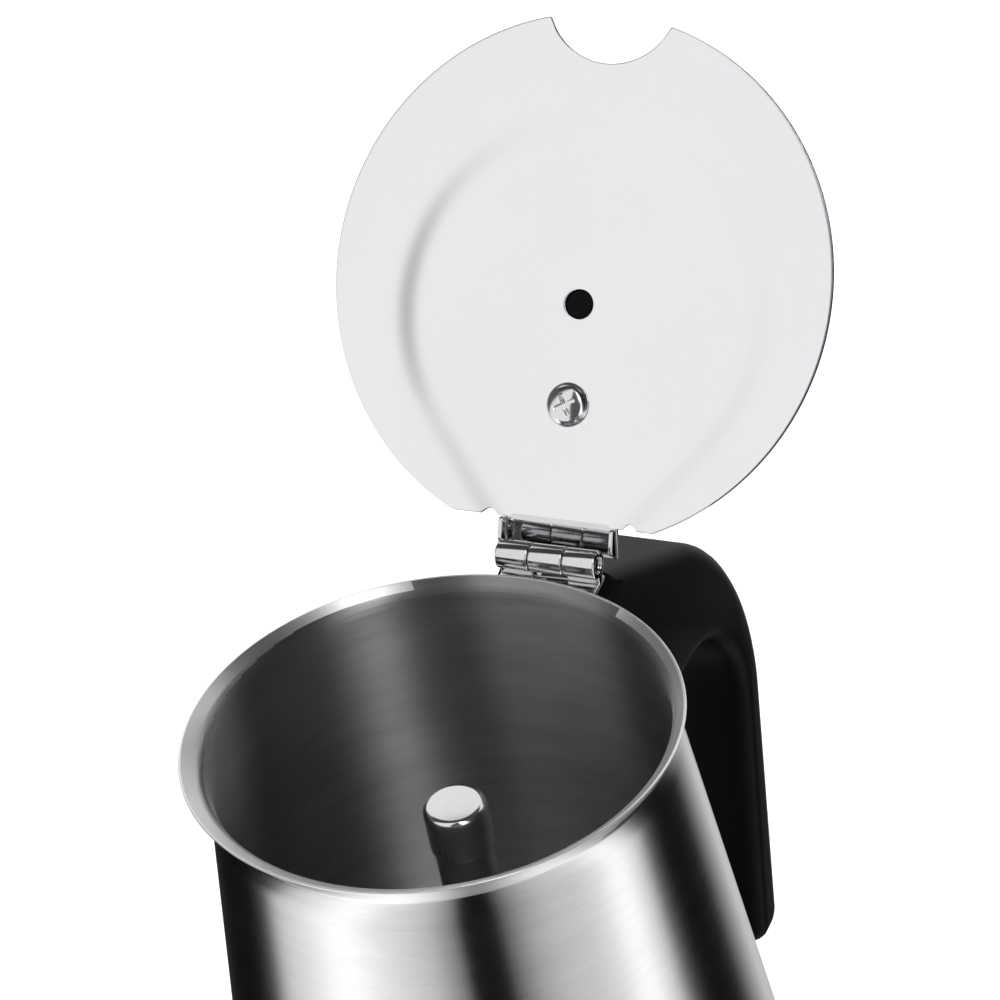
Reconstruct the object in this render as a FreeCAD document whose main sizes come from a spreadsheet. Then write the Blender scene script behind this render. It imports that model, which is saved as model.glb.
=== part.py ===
"""Stainless steel electric moka pot on a cordless power base, as an assembly of separate pieces.

Frame: millimetres, +Z up, origin on the pot's axis at the plane the foot ring stands on.
The handle and the lid hinge are at +X, the pouring notch of the closed lid at -X, and the
rocker switch at -Y. The lid is drawn open, leaning back over the handle.
"""
import FreeCAD, Part
import os
import re
import Sketcher

Vector = FreeCAD.Vector
X_AXIS = Vector(1, 0, 0)
Y_AXIS = Vector(0, 1, 0)
Z_AXIS = Vector(0, 0, 1)
FULL_TURN = 360

# Driving dimensions: (alias, value, meaning). Heights are above the table.
SIZES = [
    ("gap", 0.3, "clearance between pieces that move past each other"),
    ("sheet_steel", 0.8, "wall of the pressed steel shells"),
    ("plastic", 2.5, "wall of the moulded covers"),
    ("slack", 0.1, "clearance between pieces that are fixed to each other"),
    ("spare", 5, "how far a cutter runs past the surface that it cuts"),
    # power base
    ("base_radius", 62, "outer radius of the power base"),
    ("base_floor", 2, "underside of the base plate"),
    ("base_shoulder", 20, "top of the base's upright side"),
    ("base_top", 26, "top edge of the base"),
    ("base_brow", 57.5, "radius of the base's top edge"),
    ("recess_radius", 54.3, "seat for the pot in the base"),
    ("recess_floor", 22.6, "height of the seat's floor"),
    ("foot_outer", 52, "outer radius of the foot ring"),
    ("foot_inner", 46, "inner radius of the foot ring"),
    ("post_radius", 14, "radius of the connector post"),
    ("post_top", 34, "top of the connector post"),
    ("screw_circle", 40, "radius on which the base screws lie"),
    ("screw_hole", 1.7, "radius of a base screw's hole"),
    ("gland_height", 11, "height of the cord gland and of the switch"),
    ("gland_bore", 3.4, "bore of the cord gland"),
    ("gland_radius", 5.5, "neck radius of the cord gland"),
    ("gland_length", 13, "length of the cord gland"),
    ("boss_radius", 4.2, "radius of a screw boss in the base"),
    ("boss_depth", 15.5, "depth of a screw hole in the base"),
    ("base_head", 2.8, "radius of the head of a base or skirt screw"),
    ("lamp_radius", 2.5, "radius of the indicator lamp's lens"),
    ("lamp_side", 17, "distance of the lamp from the middle of the switch"),
    ("groove_outer", 9.5, "outer radius of the groove with the live ring"),
    ("groove_inner", 7.5, "inner radius of the groove with the live ring"),
    ("pin_well", 3.3, "radius of the earth pin's well"),
    ("earth_radius", 1.9, "radius of the earth pin"),
    ("switch_half", 10, "half of the width of the switch's frame"),
    ("switch_rise", 6.2, "half of the height of the switch's frame"),
    ("trunk_half", 8.4, "half of the width of the switch's body"),
    ("trunk_rise", 5.2, "half of the height of the switch's body"),
    ("well_half", 7.8, "half of the width of the rocker's well"),
    ("well_rise", 4.5, "half of the height of the rocker's well"),
    ("rocker_half", 7, "half of the rocker's width"),
    ("rocker_rise", 4.2, "half of the rocker's height"),
    ("rocker_end", 4.6, "distance of the rocker's ends from its axle"),
    ("rocker_crown", 5.8, "distance of the rocker's middle from its axle"),
    ("rocker_rest", 7, "angle of the rocker when it is off"),
    ("axle_radius", 1, "radius of the rocker's axle"),
    ("axle_half", 4.8, "half of the length of the rocker's axle"),
    # heater and boiler
    ("skirt_radius", 53, "outer radius of the heater skirt"),
    ("skirt_bottom", 23, "underside of the heater skirt"),
    ("skirt_top", 46.5, "top edge of the heater skirt"),
    ("boiler_radius", 50.2, "outer radius of the boiler"),
    ("boiler_bottom", 46, "underside of the boiler"),
    ("boiler_shoulder", 96.5, "top of the boiler's shoulder"),
    ("shoulder_round", 8, "round of the boiler's shoulder"),
    ("neck_radius", 38.9, "outer radius of the boiler's threaded neck"),
    ("neck_top", 104, "top edge of the neck"),
    ("plate_radius", 44, "radius of the heat spreader plate"),
    ("plate_thickness", 4, "thickness of the heat spreader plate"),
    ("element_ring", 31, "ring radius of the heating element"),
    ("element_tube", 3.3, "tube radius of the heating element"),
    ("stud_circle", 38, "radius on which the skirt's screws lie"),
    ("stat_bottom", 37.6, "underside of the thermostat"),
    ("stat_radius", 9, "radius of the thermostat's cup"),
    ("stat_rim", 11, "radius of the thermostat's rim"),
    ("fuse_radius", 2.4, "radius of the thermal fuse"),
    ("fuse_length", 16, "length of the thermal fuse"),
    ("socket_top", 37.4, "top of the pot's connector"),
    ("valve_height", 78, "height of the safety valve"),
    ("valve_hexagon", 6.9, "radius of the corners of the valve's hexagon"),
    ("valve_nose", 5, "radius of the valve's nose"),
    ("valve_shank", 4, "radius of the valve's shank"),
    ("valve_well", 3, "radius of the spring's well in the valve"),
    ("valve_stem", 1.3, "radius of the valve's pin"),
    ("valve_collar", 2.7, "radius of the collar on the valve's pin"),
    ("valve_nut", 6.5, "radius of the valve's nut"),
    ("spring_wire", 0.35, "radius of the spring's wire"),
    ("spring_coil", 2.1, "radius of the spring's coils"),
    ("spring_length", 9.6, "length of the spring"),
    # funnel, gasket and filter plate
    ("basket_radius", 34.6, "outer radius of the coffee basket"),
    ("basket_bottom", 77, "underside of the coffee basket"),
    ("stem_radius", 5, "outer radius of the funnel's stem"),
    ("stem_bottom", 50, "lower end of the funnel's stem"),
    ("flange_radius", 38.2, "radius of the basket's flange and of the gasket"),
    ("flange_thickness", 0.9, "thickness of the basket's flange"),
    ("funnel_sheet", 0.7, "wall of the basket and of its stem"),
    ("gasket_inner", 31, "inner radius of the gasket"),
    ("gasket_top", 107.4, "top of the gasket"),
    ("filter_top", 108.2, "top of the filter plate"),
    # coffee chamber
    ("chamber_bottom", 104.3, "underside of the chamber's outer edge"),
    ("chamber_radius", 48.9, "outer radius of the chamber at its bottom"),
    ("collar_radius", 42, "outer radius of the threaded collar"),
    ("collar_bottom", 97, "lower edge of the threaded collar"),
    ("floor_top", 109.3, "upper face of the chamber's floor"),
    ("rim_height", 190, "height of the rim where the pot's axis meets its plane"),
    ("rim_radius", 44, "outer radius of the flared rim"),
    ("rim_shift", 2.15, "distance of the rim's centre from the axis, away from the handle"),
    ("rim_tilt", 3.43, "angle by which the rim rises towards the pouring side"),
    ("flare_drop", 9, "depth below the rim at which the wall starts to flare"),
    ("flare_radius", 40.95, "outer radius of the wall where the flare starts"),
    ("throat_radius", 41.4, "outer radius at the foot of the lip"),
    ("throat_shift", 0.9, "distance of the lip's foot from the axis, away from the handle"),
    ("throat_drop", 2.3, "depth of the lip's foot below the rim"),
    ("column_radius", 5.15, "outer radius of the riser column"),
    ("column_bore", 4.2, "bore of the riser column"),
    ("column_foot", 12, "radius of the column's flared foot"),
    ("floor_hole", 11, "radius of the hole in the floor that the column's foot sits in"),
    ("cap_radius", 5.7, "radius of the column's cap"),
    ("cap_top", 171, "top of the column's cap"),
    ("cap_length", 9, "length of the column's cap"),
    # hinge and lid
    ("hinge_x", 49, "distance of the hinge's axis from the pot's axis"),
    ("hinge_drop", 4.5, "depth of the hinge's axis below the rim height"),
    ("hinge_side", -1.2, "place of the hinge's middle across the pot"),
    ("knuckle_radius", 2.6, "radius of the hinge's knuckles"),
    ("hinge_half", 9.45, "half of the hinge barrel's length"),
    ("knuckle_half", 3.2, "half of the middle knuckle's length"),
    ("pin_radius", 1.5, "radius of the hinge pin"),
    ("running_fit", 0.05, "radial clearance of a pin in its bore"),
    ("lid_angle", 48.92, "angle of the open lid above the level, leaning back over the handle"),
    ("lid_radius", 47.14, "radius of the lid"),
    ("lid_reach", 49.72, "distance of the lid's centre from the hinge"),
    ("lid_offset", 1.9, "distance of the lid's inner face from the hinge's axis"),
    ("lid_sheet", 0.8, "thickness of the lid"),
    ("dish_radius", 33.7, "radius of the lid's pressed dish"),
    ("dish_reach", 44.1, "distance of the dish's centre from the hinge"),
    ("dish_depth", 1.0, "depth of the pressed dish"),
    ("peg_hole", 2.6, "radius of the hole for the knob's locating peg"),
    ("peg_reach", 45.3, "distance of the peg's hole from the hinge"),
    ("knob_reach", 27.4, "distance of the knob's screw from the hinge"),
    ("notch_radius", 12.6, "radius of the pouring notch"),
    ("notch_reach", 100.6, "distance of the notch's centre from the hinge"),
    ("tab_edge", 6.6, "distance of the lid's cut edge from the hinge"),
    ("leaf_bend", 30, "angle between the lid and the hinge's leaf"),
    ("leaf_length", 5.6, "length of the hinge's leaf from its fold"),
    ("leaf_sheet", 0.7, "thickness of the hinge's leaf"),
    ("knob_width", 18, "width of the lid's knob"),
    ("knob_length", 16, "height of the lid's knob"),
    ("knob_edge", 2.4, "round of the knob's edges"),
    # handle, in the plane of the pot's axis; depths are below the rim height
    ("handle_width", 23, "width of the handle"),
    ("handle_edge", 3.6, "round of the handle's edges"),
    ("handle_neck", 51.8, "distance of the handle's upper end from the pot's axis"),
    ("handle_reach", 111, "distance of the handle's outer shoulder"),
    ("shoulder_drop", 46.4, "depth of the handle's outer shoulder"),
    ("tip_outer", 94.4, "distance of the outer side of the handle's tip"),
    ("tip_inner", 83.4, "distance of the inner side of the handle's tip"),
    ("tip_drop", 131.5, "depth of the handle's tip"),
    ("gap_outer", 100.9, "distance of the outer side of the finger gap"),
    ("gap_inner", 60, "distance of the inner side of the finger gap"),
    ("gap_drop", 51.5, "depth of the top of the finger gap"),
    ("lug_top", 20, "depth of the top of the handle's lug"),
    ("lug_drop", 48, "depth of the foot of the handle's lug"),
    ("lug_half", 8, "half of the width of the handle's lug"),
    ("lug_screw", 53, "distance of the handle's screw from the pot's axis"),
    ("handle_corner", 48, "round of the handle's outer shoulder"),
    ("grip_corner", 21.5, "round of the top of the finger gap"),
]
WORDS = {alias for alias, value, note in SIZES}

doc = FreeCAD.newDocument("electric_moka_pot")
sheet = doc.addObject("Spreadsheet::Sheet", "dims")
for row, (alias, value, note) in enumerate(SIZES, start=1):
    sheet.set("A%d" % row, note)
    sheet.set("B%d" % row, str(value))
    sheet.setAlias("B%d" % row, alias)
doc.recompute()

nodes = []


def ref(text):
    """Return the expression with each alias pointed at the sheet."""
    return re.sub(r"[a-z_]+", lambda m: "dims." + m.group(0) if m.group(0) in WORDS else m.group(0), text)


def val(text):
    """Return an expression's value in millimetres or degrees."""
    return float(sheet.evalExpression(ref(text)))


def bind(thing, **places):
    """Bind properties of a document object to expressions; __ stands for a dot."""
    for name, text in places.items():
        thing.setExpression(name.replace("__", "."), ref(text))


def keep(thing, label):
    """Name the finished piece and put it on the list of nodes."""
    thing.Label = label
    nodes.append(thing)
    return thing


def plane_of(body, role):
    """Return the body's own origin plane with that role."""
    return [face for face in body.Origin.OriginFeatures if face.Role == role][0]


def new_sketch(body, name, role):
    """Return an empty sketch on one of the body's origin planes."""
    sketch = body.newObject("Sketcher::SketchObject", name)
    sketch.AttachmentSupport = [(plane_of(body, role), "")]
    sketch.MapMode = "FlatFace"
    return sketch


def outline(body, name, role, corners):
    """Return a closed sketch of straight sides whose corners are pairs of expressions."""
    sketch = new_sketch(body, name, role)
    points = [(val(across), val(up)) for across, up in corners]
    count = len(points)
    for i in range(count):
        start = Vector(points[i][0], points[i][1], 0)
        end = Vector(points[(i + 1) % count][0], points[(i + 1) % count][1], 0)
        sketch.addGeometry(Part.LineSegment(start, end), False)
    for i in range(count):
        sketch.addConstraint(Sketcher.Constraint("Coincident", i, 2, (i + 1) % count, 1))
    for i, (across, up) in enumerate(corners):
        for kind, text, value in (("DistanceX", across, points[i][0]), ("DistanceY", up, points[i][1])):
            number = sketch.addConstraint(Sketcher.Constraint(kind, -1, 1, i, 1, value))
            sketch.setExpression("Constraints[%d]" % number, ref(text))
    return sketch


def round_outline(body, name, role, across, up, radius):
    """Return a sketch of one circle whose centre and radius are expressions."""
    sketch = new_sketch(body, name, role)
    middle = Vector(val(across), val(up), 0)
    sketch.addGeometry(Part.Circle(middle, Z_AXIS, val(radius)), False)
    rules = (("DistanceX", across), ("DistanceY", up))
    for kind, text in rules:
        number = sketch.addConstraint(Sketcher.Constraint(kind, -1, 1, 0, 3, val(text)))
        sketch.setExpression("Constraints[%d]" % number, ref(text))
    number = sketch.addConstraint(Sketcher.Constraint("Radius", 0, val(radius)))
    sketch.setExpression("Constraints[%d]" % number, ref(radius))
    return sketch


def turned(name, corners):
    """Return a body turned about the pot's axis from corners given as radius and height."""
    body = doc.addObject("PartDesign::Body", name)
    sketch = outline(body, name + "_profile", "XZ_Plane", corners)
    turn = body.newObject("PartDesign::Revolution", name + "_turn")
    turn.Profile = sketch
    turn.ReferenceAxis = (sketch, ["V_Axis"])
    turn.Angle = FULL_TURN
    doc.recompute()
    return body


def slab(name, corners, thickness):
    """Return a body padded to both sides of the XZ plane."""
    body = doc.addObject("PartDesign::Body", name)
    sketch = outline(body, name + "_outline", "XZ_Plane", corners)
    pad = body.newObject("PartDesign::Pad", name + "_pad")
    pad.Profile = sketch
    pad.Midplane = True
    bind(pad, Length=thickness)
    doc.recompute()
    return body


def rounded(body, radius, choose):
    """Fillet the body's edges that choose() picks."""
    tip = body.Tip
    picked = ["Edge%d" % (i + 1) for i, edge in enumerate(tip.Shape.Edges) if choose(edge)]
    fillet = body.newObject("PartDesign::Fillet", body.Name + "_round%d" % len(body.Group))
    fillet.Base = (tip, picked)
    bind(fillet, Radius=radius)
    doc.recompute()
    return body


def drilled(body, name, circles, low, depth):
    """Cut rings of round holes up through a flat piece: (ring radius, hole radius, count)."""
    for i, (ring, hole, count) in enumerate(circles):
        sketch = round_outline(body, "%s_hole%d" % (name, i), "XY_Plane", ring, "0", hole)
        bind(sketch, AttachmentOffset__Base__z=low)
        pocket = body.newObject("PartDesign::Pocket", "%s_cut%d" % (name, i))
        pocket.Profile = sketch
        pocket.Reversed = True
        bind(pocket, Length=depth)
        doc.recompute()
        if count > 1:
            pattern = body.newObject("PartDesign::PolarPattern", "%s_ring%d" % (name, i))
            pattern.Originals = [pocket]
            pattern.Axis = (sketch, ["N_Axis"])
            pattern.Angle = FULL_TURN
            pattern.Occurrences = count
            body.Tip = pattern
            doc.recompute()
    return body


def set_place(thing, at, axis=Z_AXIS, angle="0"):
    """Place an object by expressions for its base and its turn about an axis."""
    thing.Placement = FreeCAD.Placement(Vector(0, 0, 0), FreeCAD.Rotation(axis, val(angle) or 1.0))
    bind(thing, Placement__Base__x=at[0], Placement__Base__y=at[1], Placement__Base__z=at[2])
    bind(thing, Placement__Rotation__Angle=angle)
    return thing


def box(name, low, high):
    """Return a box between two corners given as expressions."""
    thing = doc.addObject("Part::Box", name)
    bind(thing, Length="(%s) - (%s)" % (high[0], low[0]), Width="(%s) - (%s)" % (high[1], low[1]))
    bind(thing, Height="(%s) - (%s)" % (high[2], low[2]))
    bind(thing, Placement__Base__x=low[0], Placement__Base__y=low[1], Placement__Base__z=low[2])
    return thing


def rod(name, radius, length, at, axis=Z_AXIS, angle="0"):
    """Return a cylinder that starts at a point and is turned about an axis."""
    thing = doc.addObject("Part::Cylinder", name)
    bind(thing, Radius=radius, Height=length)
    return set_place(thing, at, axis, angle)


def cone(name, low_radius, high_radius, length, at, axis=Z_AXIS, angle="0"):
    """Return a cone that starts at a point and is turned about an axis."""
    thing = doc.addObject("Part::Cone", name)
    bind(thing, Radius1=low_radius, Radius2=high_radius, Height=length)
    return set_place(thing, at, axis, angle)


def joined(name, shapes):
    """Return the union of several objects."""
    thing = doc.addObject("Part::MultiFuse", name)
    thing.Shapes = shapes
    thing.Refine = True
    return thing


def group(name, shapes):
    """Return several separate solids as one object."""
    thing = doc.addObject("Part::Compound", name)
    thing.Links = shapes
    return thing


def cut(name, base, tools):
    """Return an object with one or more others taken away."""
    thing = doc.addObject("Part::Cut", name)
    thing.Base = base
    thing.Tool = tools[0] if len(tools) == 1 else joined(name + "_tools", tools)
    thing.Refine = True
    return thing


def ring_places(radius, count, first):
    """Return the expressions of points evenly spaced on a circle about the pot's axis."""
    turns = [first + FULL_TURN * i / count for i in range(count)]
    return [("%s * cos(%g deg)" % (radius, turn), "%s * sin(%g deg)" % (radius, turn)) for turn in turns]


# ---------------------------------------------------------------- power base
def make_base():
    """The cordless power base: cover, plate, foot, connector, gland, switch and lamp."""
    cover = turned("base_cover", [
        ("base_radius", "base_floor"), ("base_radius", "base_shoulder"), ("base_brow", "base_top"),
        ("recess_radius", "base_top"), ("recess_radius", "recess_floor"),
        ("post_radius + 6", "recess_floor"), ("post_radius + 6", "recess_floor - plastic"),
        ("recess_radius + plastic / 2 - 2", "recess_floor - plastic"),
        ("base_radius - plastic", "base_shoulder - plastic"), ("base_radius - plastic", "base_floor")])
    window = box("switch_window",
                 ("-trunk_half - 2 * slack", "-base_radius - spare", "gland_height - trunk_rise - slack"),
                 ("trunk_half + 2 * slack", "12 - base_radius", "gland_height + trunk_rise + slack"))
    frame_seat = box("switch_frame_seat",
                     ("-switch_half - slack", "-base_radius - spare", "gland_height - switch_rise - slack"),
                     ("switch_half + slack", "1.2 - base_radius", "gland_height + switch_rise + slack"))
    lamp_hole = rod("lamp_hole", "lamp_radius + slack", "2 * spare",
                    ("lamp_side", "6 - base_radius", "gland_height"),
                    X_AXIS, "90")
    gland_hole = rod("gland_hole", "gland_radius + slack", "2 * spare",
                     ("0", "base_radius + 2", "gland_height"),
                     X_AXIS, "90")
    sleeves = []
    holes = []
    for i, (x, y) in enumerate(ring_places("screw_circle", 4, 0)):
        sleeves.append(rod("boss_sleeve%d" % i, "boss_radius",
                           "recess_floor - 2 * plastic - base_floor + slack",
                           (x, y, "base_floor + plastic + slack")))
        holes.append(rod("boss_hole%d" % i, "screw_hole", "boss_depth", (x, y, "base_floor")))
    solid = joined("base_housing_solid", [cover] + sleeves)
    keep(cut("base_housing_cut", solid, [window, frame_seat, lamp_hole, gland_hole] + holes), "base_housing")

    plate = turned("base_plate_body", [
        ("0", "base_floor"), ("base_radius - plastic - gap", "base_floor"),
        ("base_radius - plastic - gap", "base_floor + plastic"), ("0", "base_floor + plastic")])
    drilled(plate, "base_plate", [("screw_circle", "screw_hole", 4)], "base_floor - 1", "plastic + 2")
    keep(plate, "base_plate")

    foot = turned("foot_ring_body", [
        ("foot_inner", "0"), ("foot_outer", "0"), ("foot_outer", "base_floor"),
        ("foot_inner", "base_floor")])
    keep(foot, "foot_ring")

    screws = []
    for i, (x, y) in enumerate(ring_places("screw_circle", 4, 0)):
        head = rod("base_screw_head%d" % i, "base_head", "1.2", (x, y, "base_floor - 1.2"))
        shank = rod("base_screw_shank%d" % i, "screw_hole - 0.2", "14", (x, y, "base_floor"))
        screws.append(joined("base_screw%d" % i, [head, shank]))
    keep(group("base_screw_group", screws), "base_screws")

    post = turned("connector_post_body", [
        ("0", "base_floor + plastic + 6"), ("post_radius + 9", "base_floor + plastic + 6"),
        ("post_radius + 9", "recess_floor - plastic"), ("post_radius + 5.5", "recess_floor - plastic"),
        ("post_radius + 5.5", "recess_floor"), ("post_radius", "recess_floor"),
        ("post_radius", "post_top"), ("groove_outer", "post_top"), ("groove_outer", "recess_floor + 3"),
        ("groove_inner", "recess_floor + 3"), ("groove_inner", "post_top - 1"), ("pin_well", "post_top - 1"),
        ("pin_well", "recess_floor - 1"), ("0", "recess_floor - 1")])
    keep(post, "connector_post")

    earth_pin = rod("earth_pin", "earth_radius", "post_top - recess_floor - 1",
                    ("0", "0", "recess_floor - 1"))
    live_ring = turned("live_ring_body", [
        ("groove_inner + slack", "recess_floor + 3"), ("groove_inner + 8 * slack", "recess_floor + 3"),
        ("groove_inner + 8 * slack", "post_top - 3"), ("groove_inner + slack", "post_top - 3")])
    keep(group("contact_group", [earth_pin, live_ring]), "base_contacts")

    neck = rod("gland_neck", "gland_radius", "gland_length", ("0", "base_radius + 6", "gland_height"),
               X_AXIS, "90")
    flange = rod("gland_flange", "gland_radius + 2", "3", ("0", "base_radius + 3.2", "gland_height"),
                 X_AXIS, "90")
    bore = rod("gland_passage", "gland_bore", "gland_length + 4 * spare",
               ("0", "base_radius + 10", "gland_height"), X_AXIS, "90")
    keep(cut("cord_gland_cut", joined("gland_solid", [neck, flange]), [bore]), "cord_gland")

    block = box("terminal_body", ("24", "20", "base_floor + plastic + 0.2"),
                ("40", "32", "base_floor + plastic + 9"))
    keep(block, "terminal_block")

    lens = rod("lamp_lens", "lamp_radius", "2 * lamp_radius",
               ("lamp_side", "2 - base_radius", "gland_height"), X_AXIS, "90")
    keep(lens, "indicator_lens")


def make_switch():
    """The rocker switch in the base's front: a housing and the rocker on its trunnions."""
    frame = box("switch_frame", ("-switch_half", "-base_radius - 1.2", "gland_height - switch_rise"),
                ("switch_half", "1.2 - base_radius", "gland_height + switch_rise"))
    trunk = box("switch_trunk", ("-trunk_half", "1.2 - base_radius", "gland_height - trunk_rise"),
                ("trunk_half", "13 - base_radius", "gland_height + trunk_rise"))
    well = box("switch_well", ("-well_half", "-base_radius - 3", "gland_height - well_rise"),
               ("well_half", "9 - base_radius", "gland_height + well_rise"))
    socket = rod("switch_socket", "axle_radius + running_fit", "2 * (axle_half + slack)",
                 ("0", "4 - base_radius", "gland_height - axle_half - slack"))
    keep(cut("switch_housing_cut", joined("switch_solid", [frame, trunk]), [well, socket]), "switch_housing")

    rocker = doc.addObject("PartDesign::Body", "rocker_body")
    paddle = outline(rocker, "rocker_outline", "XY_Plane", [
        ("-rocker_half", "0"), ("rocker_half", "0"), ("rocker_half", "-rocker_end"), ("0", "-rocker_crown"),
        ("-rocker_half", "-rocker_end")])
    bind(paddle, AttachmentOffset__Base__z="-rocker_rise")
    pad = rocker.newObject("PartDesign::Pad", "rocker_pad")
    pad.Profile = paddle
    bind(pad, Length="2 * rocker_rise")
    trunnion = round_outline(rocker, "rocker_axle", "XY_Plane", "0", "0", "axle_radius")
    bind(trunnion, AttachmentOffset__Base__z="-axle_half")
    axle = rocker.newObject("PartDesign::Pad", "rocker_axle_pad")
    axle.Profile = trunnion
    bind(axle, Length="2 * axle_half")
    doc.recompute()
    set_place(rocker, ("0", "4 - base_radius", "gland_height"), Z_AXIS, "rocker_rest")
    keep(rocker, "switch_rocker")


# ---------------------------------------------------------------- heater and boiler
def make_heater():
    """The heater under the boiler, its controls, its skirt and the pot's connector."""
    plate = turned("heating_plate_body", [
        ("0", "boiler_bottom - plate_thickness"), ("plate_radius", "boiler_bottom - plate_thickness"),
        ("plate_radius", "boiler_bottom"), ("0", "boiler_bottom")])
    studs = []
    threads = []
    for i, (x, y) in enumerate(ring_places("stud_circle", 3, 60)):
        length = "boiler_bottom - plate_thickness - skirt_bottom - plastic"
        studs.append(rod("skirt_stud%d" % i, "2.7", length + " + 1", (x, y, "skirt_bottom + plastic")))
        threads.append(rod("stud_thread%d" % i, "1.5", "11", (x, y, "skirt_bottom")))
    keep(cut("heating_plate_cut", joined("heating_plate_solid", [plate] + studs), threads), "heating_plate")

    ring = doc.addObject("Part::Torus", "element_ring_tube")
    bind(ring, Radius1="element_ring", Radius2="element_tube")
    ring.Angle3 = 310
    set_place(ring, ("0", "0", "boiler_bottom - plate_thickness - element_tube - 0.05"), Z_AXIS, "25")
    terminals = []
    for i, turn in enumerate((25, 335)):
        place = ("element_ring * cos(%d deg)" % turn, "element_ring * sin(%d deg)" % turn)
        terminals.append(rod("element_terminal%d" % i, "1.6", "8",
                             (place[0], place[1], "boiler_bottom - plate_thickness - element_tube - 9")))
    keep(joined("heating_element_join", [ring] + terminals), "heating_element")

    stat = turned("thermostat_body", [
        ("0", "stat_bottom"), ("stat_radius", "stat_bottom"), ("stat_radius", "stat_bottom + 1.8"),
        ("stat_rim", "stat_bottom + 1.8"), ("stat_rim", "boiler_bottom - plate_thickness - slack"),
        ("0", "boiler_bottom - plate_thickness - slack")])
    keep(stat, "thermostat")
    fuse = rod("thermal_fuse_body", "fuse_radius", "fuse_length",
               ("-20", "fuse_length / 2", "stat_bottom + 1.8"), X_AXIS, "90")
    keep(fuse, "thermal_fuse")

    skirt = turned("heater_skirt_body", [
        ("post_radius + 6.5", "skirt_bottom"), ("skirt_radius - 2", "skirt_bottom"),
        ("skirt_radius", "skirt_bottom + 2"), ("skirt_radius", "skirt_top - 4"),
        ("boiler_radius + gap / 3 + 0.6", "skirt_top"), ("boiler_radius + gap / 3", "skirt_top"),
        ("boiler_radius + gap / 3", "skirt_top - 4"), ("skirt_radius - plastic", "skirt_top - 6"),
        ("skirt_radius - plastic", "skirt_bottom + plastic + 1"),
        ("skirt_radius - plastic - 1", "skirt_bottom + plastic"),
        ("post_radius + 6.5", "skirt_bottom + plastic")])
    seats = []
    screws = []
    for i, (x, y) in enumerate(ring_places("stud_circle", 3, 60)):
        seats.append(rod("skirt_hole%d" % i, "screw_hole", "5", (x, y, "skirt_bottom - 1")))
        seats.append(rod("skirt_seat%d" % i, "3.1", "2.5", (x, y, "skirt_bottom - 1")))
        head = rod("skirt_screw_head%d" % i, "base_head", "1.4", (x, y, "skirt_bottom + slack"))
        shank = rod("skirt_screw_shank%d" % i, "1.45", "9", (x, y, "skirt_bottom + 1.4"))
        screws.append(joined("skirt_screw%d" % i, [head, shank]))
    keep(cut("heater_skirt_cut", skirt, seats), "heater_skirt")
    keep(group("skirt_screw_group", screws), "skirt_screws")

    socket = turned("pot_connector_body", [
        ("post_radius + gap + 0.2", "skirt_bottom + 0.3"), ("post_radius + 6.2", "skirt_bottom + 0.3"),
        ("post_radius + 6.2", "skirt_bottom + plastic"), ("post_radius + 9", "skirt_bottom + plastic"),
        ("post_radius + 9", "skirt_bottom + plastic + 2"), ("post_radius + 3", "skirt_bottom + plastic + 2"),
        ("post_radius + 3", "socket_top"), ("0", "socket_top"),
        ("0", "socket_top - 2"), ("post_radius + gap + 0.2", "socket_top - 2")])
    keep(socket, "pot_connector")


def make_boiler():
    """The water boiler, a pressed steel shell with a threaded neck."""
    shell = turned("boiler_shell_body", [
        ("0", "boiler_bottom"), ("boiler_radius - 0.9", "boiler_bottom"),
        ("boiler_radius", "boiler_bottom + 0.9"), ("boiler_radius", "boiler_shoulder - shoulder_round"),
        ("boiler_radius - 0.15 * shoulder_round", "boiler_shoulder - 0.5 * shoulder_round"),
        ("boiler_radius - 0.5 * shoulder_round", "boiler_shoulder - 0.15 * shoulder_round"),
        ("boiler_radius - shoulder_round", "boiler_shoulder"), ("neck_radius", "boiler_shoulder"),
        ("neck_radius", "neck_top"), ("neck_radius - 1.1", "neck_top"),
        ("neck_radius - 1.1", "boiler_shoulder - sheet_steel"),
        ("boiler_radius - shoulder_round", "boiler_shoulder - sheet_steel"),
        ("boiler_radius - 0.5 * shoulder_round - 0.5", "boiler_shoulder - 0.15 * shoulder_round - 0.7"),
        ("boiler_radius - 0.15 * shoulder_round - 0.75", "boiler_shoulder - 0.5 * shoulder_round - 0.4"),
        ("boiler_radius - sheet_steel", "boiler_shoulder - shoulder_round"),
        ("boiler_radius - sheet_steel", "boiler_bottom + 1.5"), ("0", "boiler_bottom + 1.5")])
    port = rod("valve_port", "valve_shank + slack", "12", ("0", "8 - boiler_radius", "valve_height"),
               X_AXIS, "90")
    keep(cut("boiler_shell_cut", shell, [port]), "boiler_shell")


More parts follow.
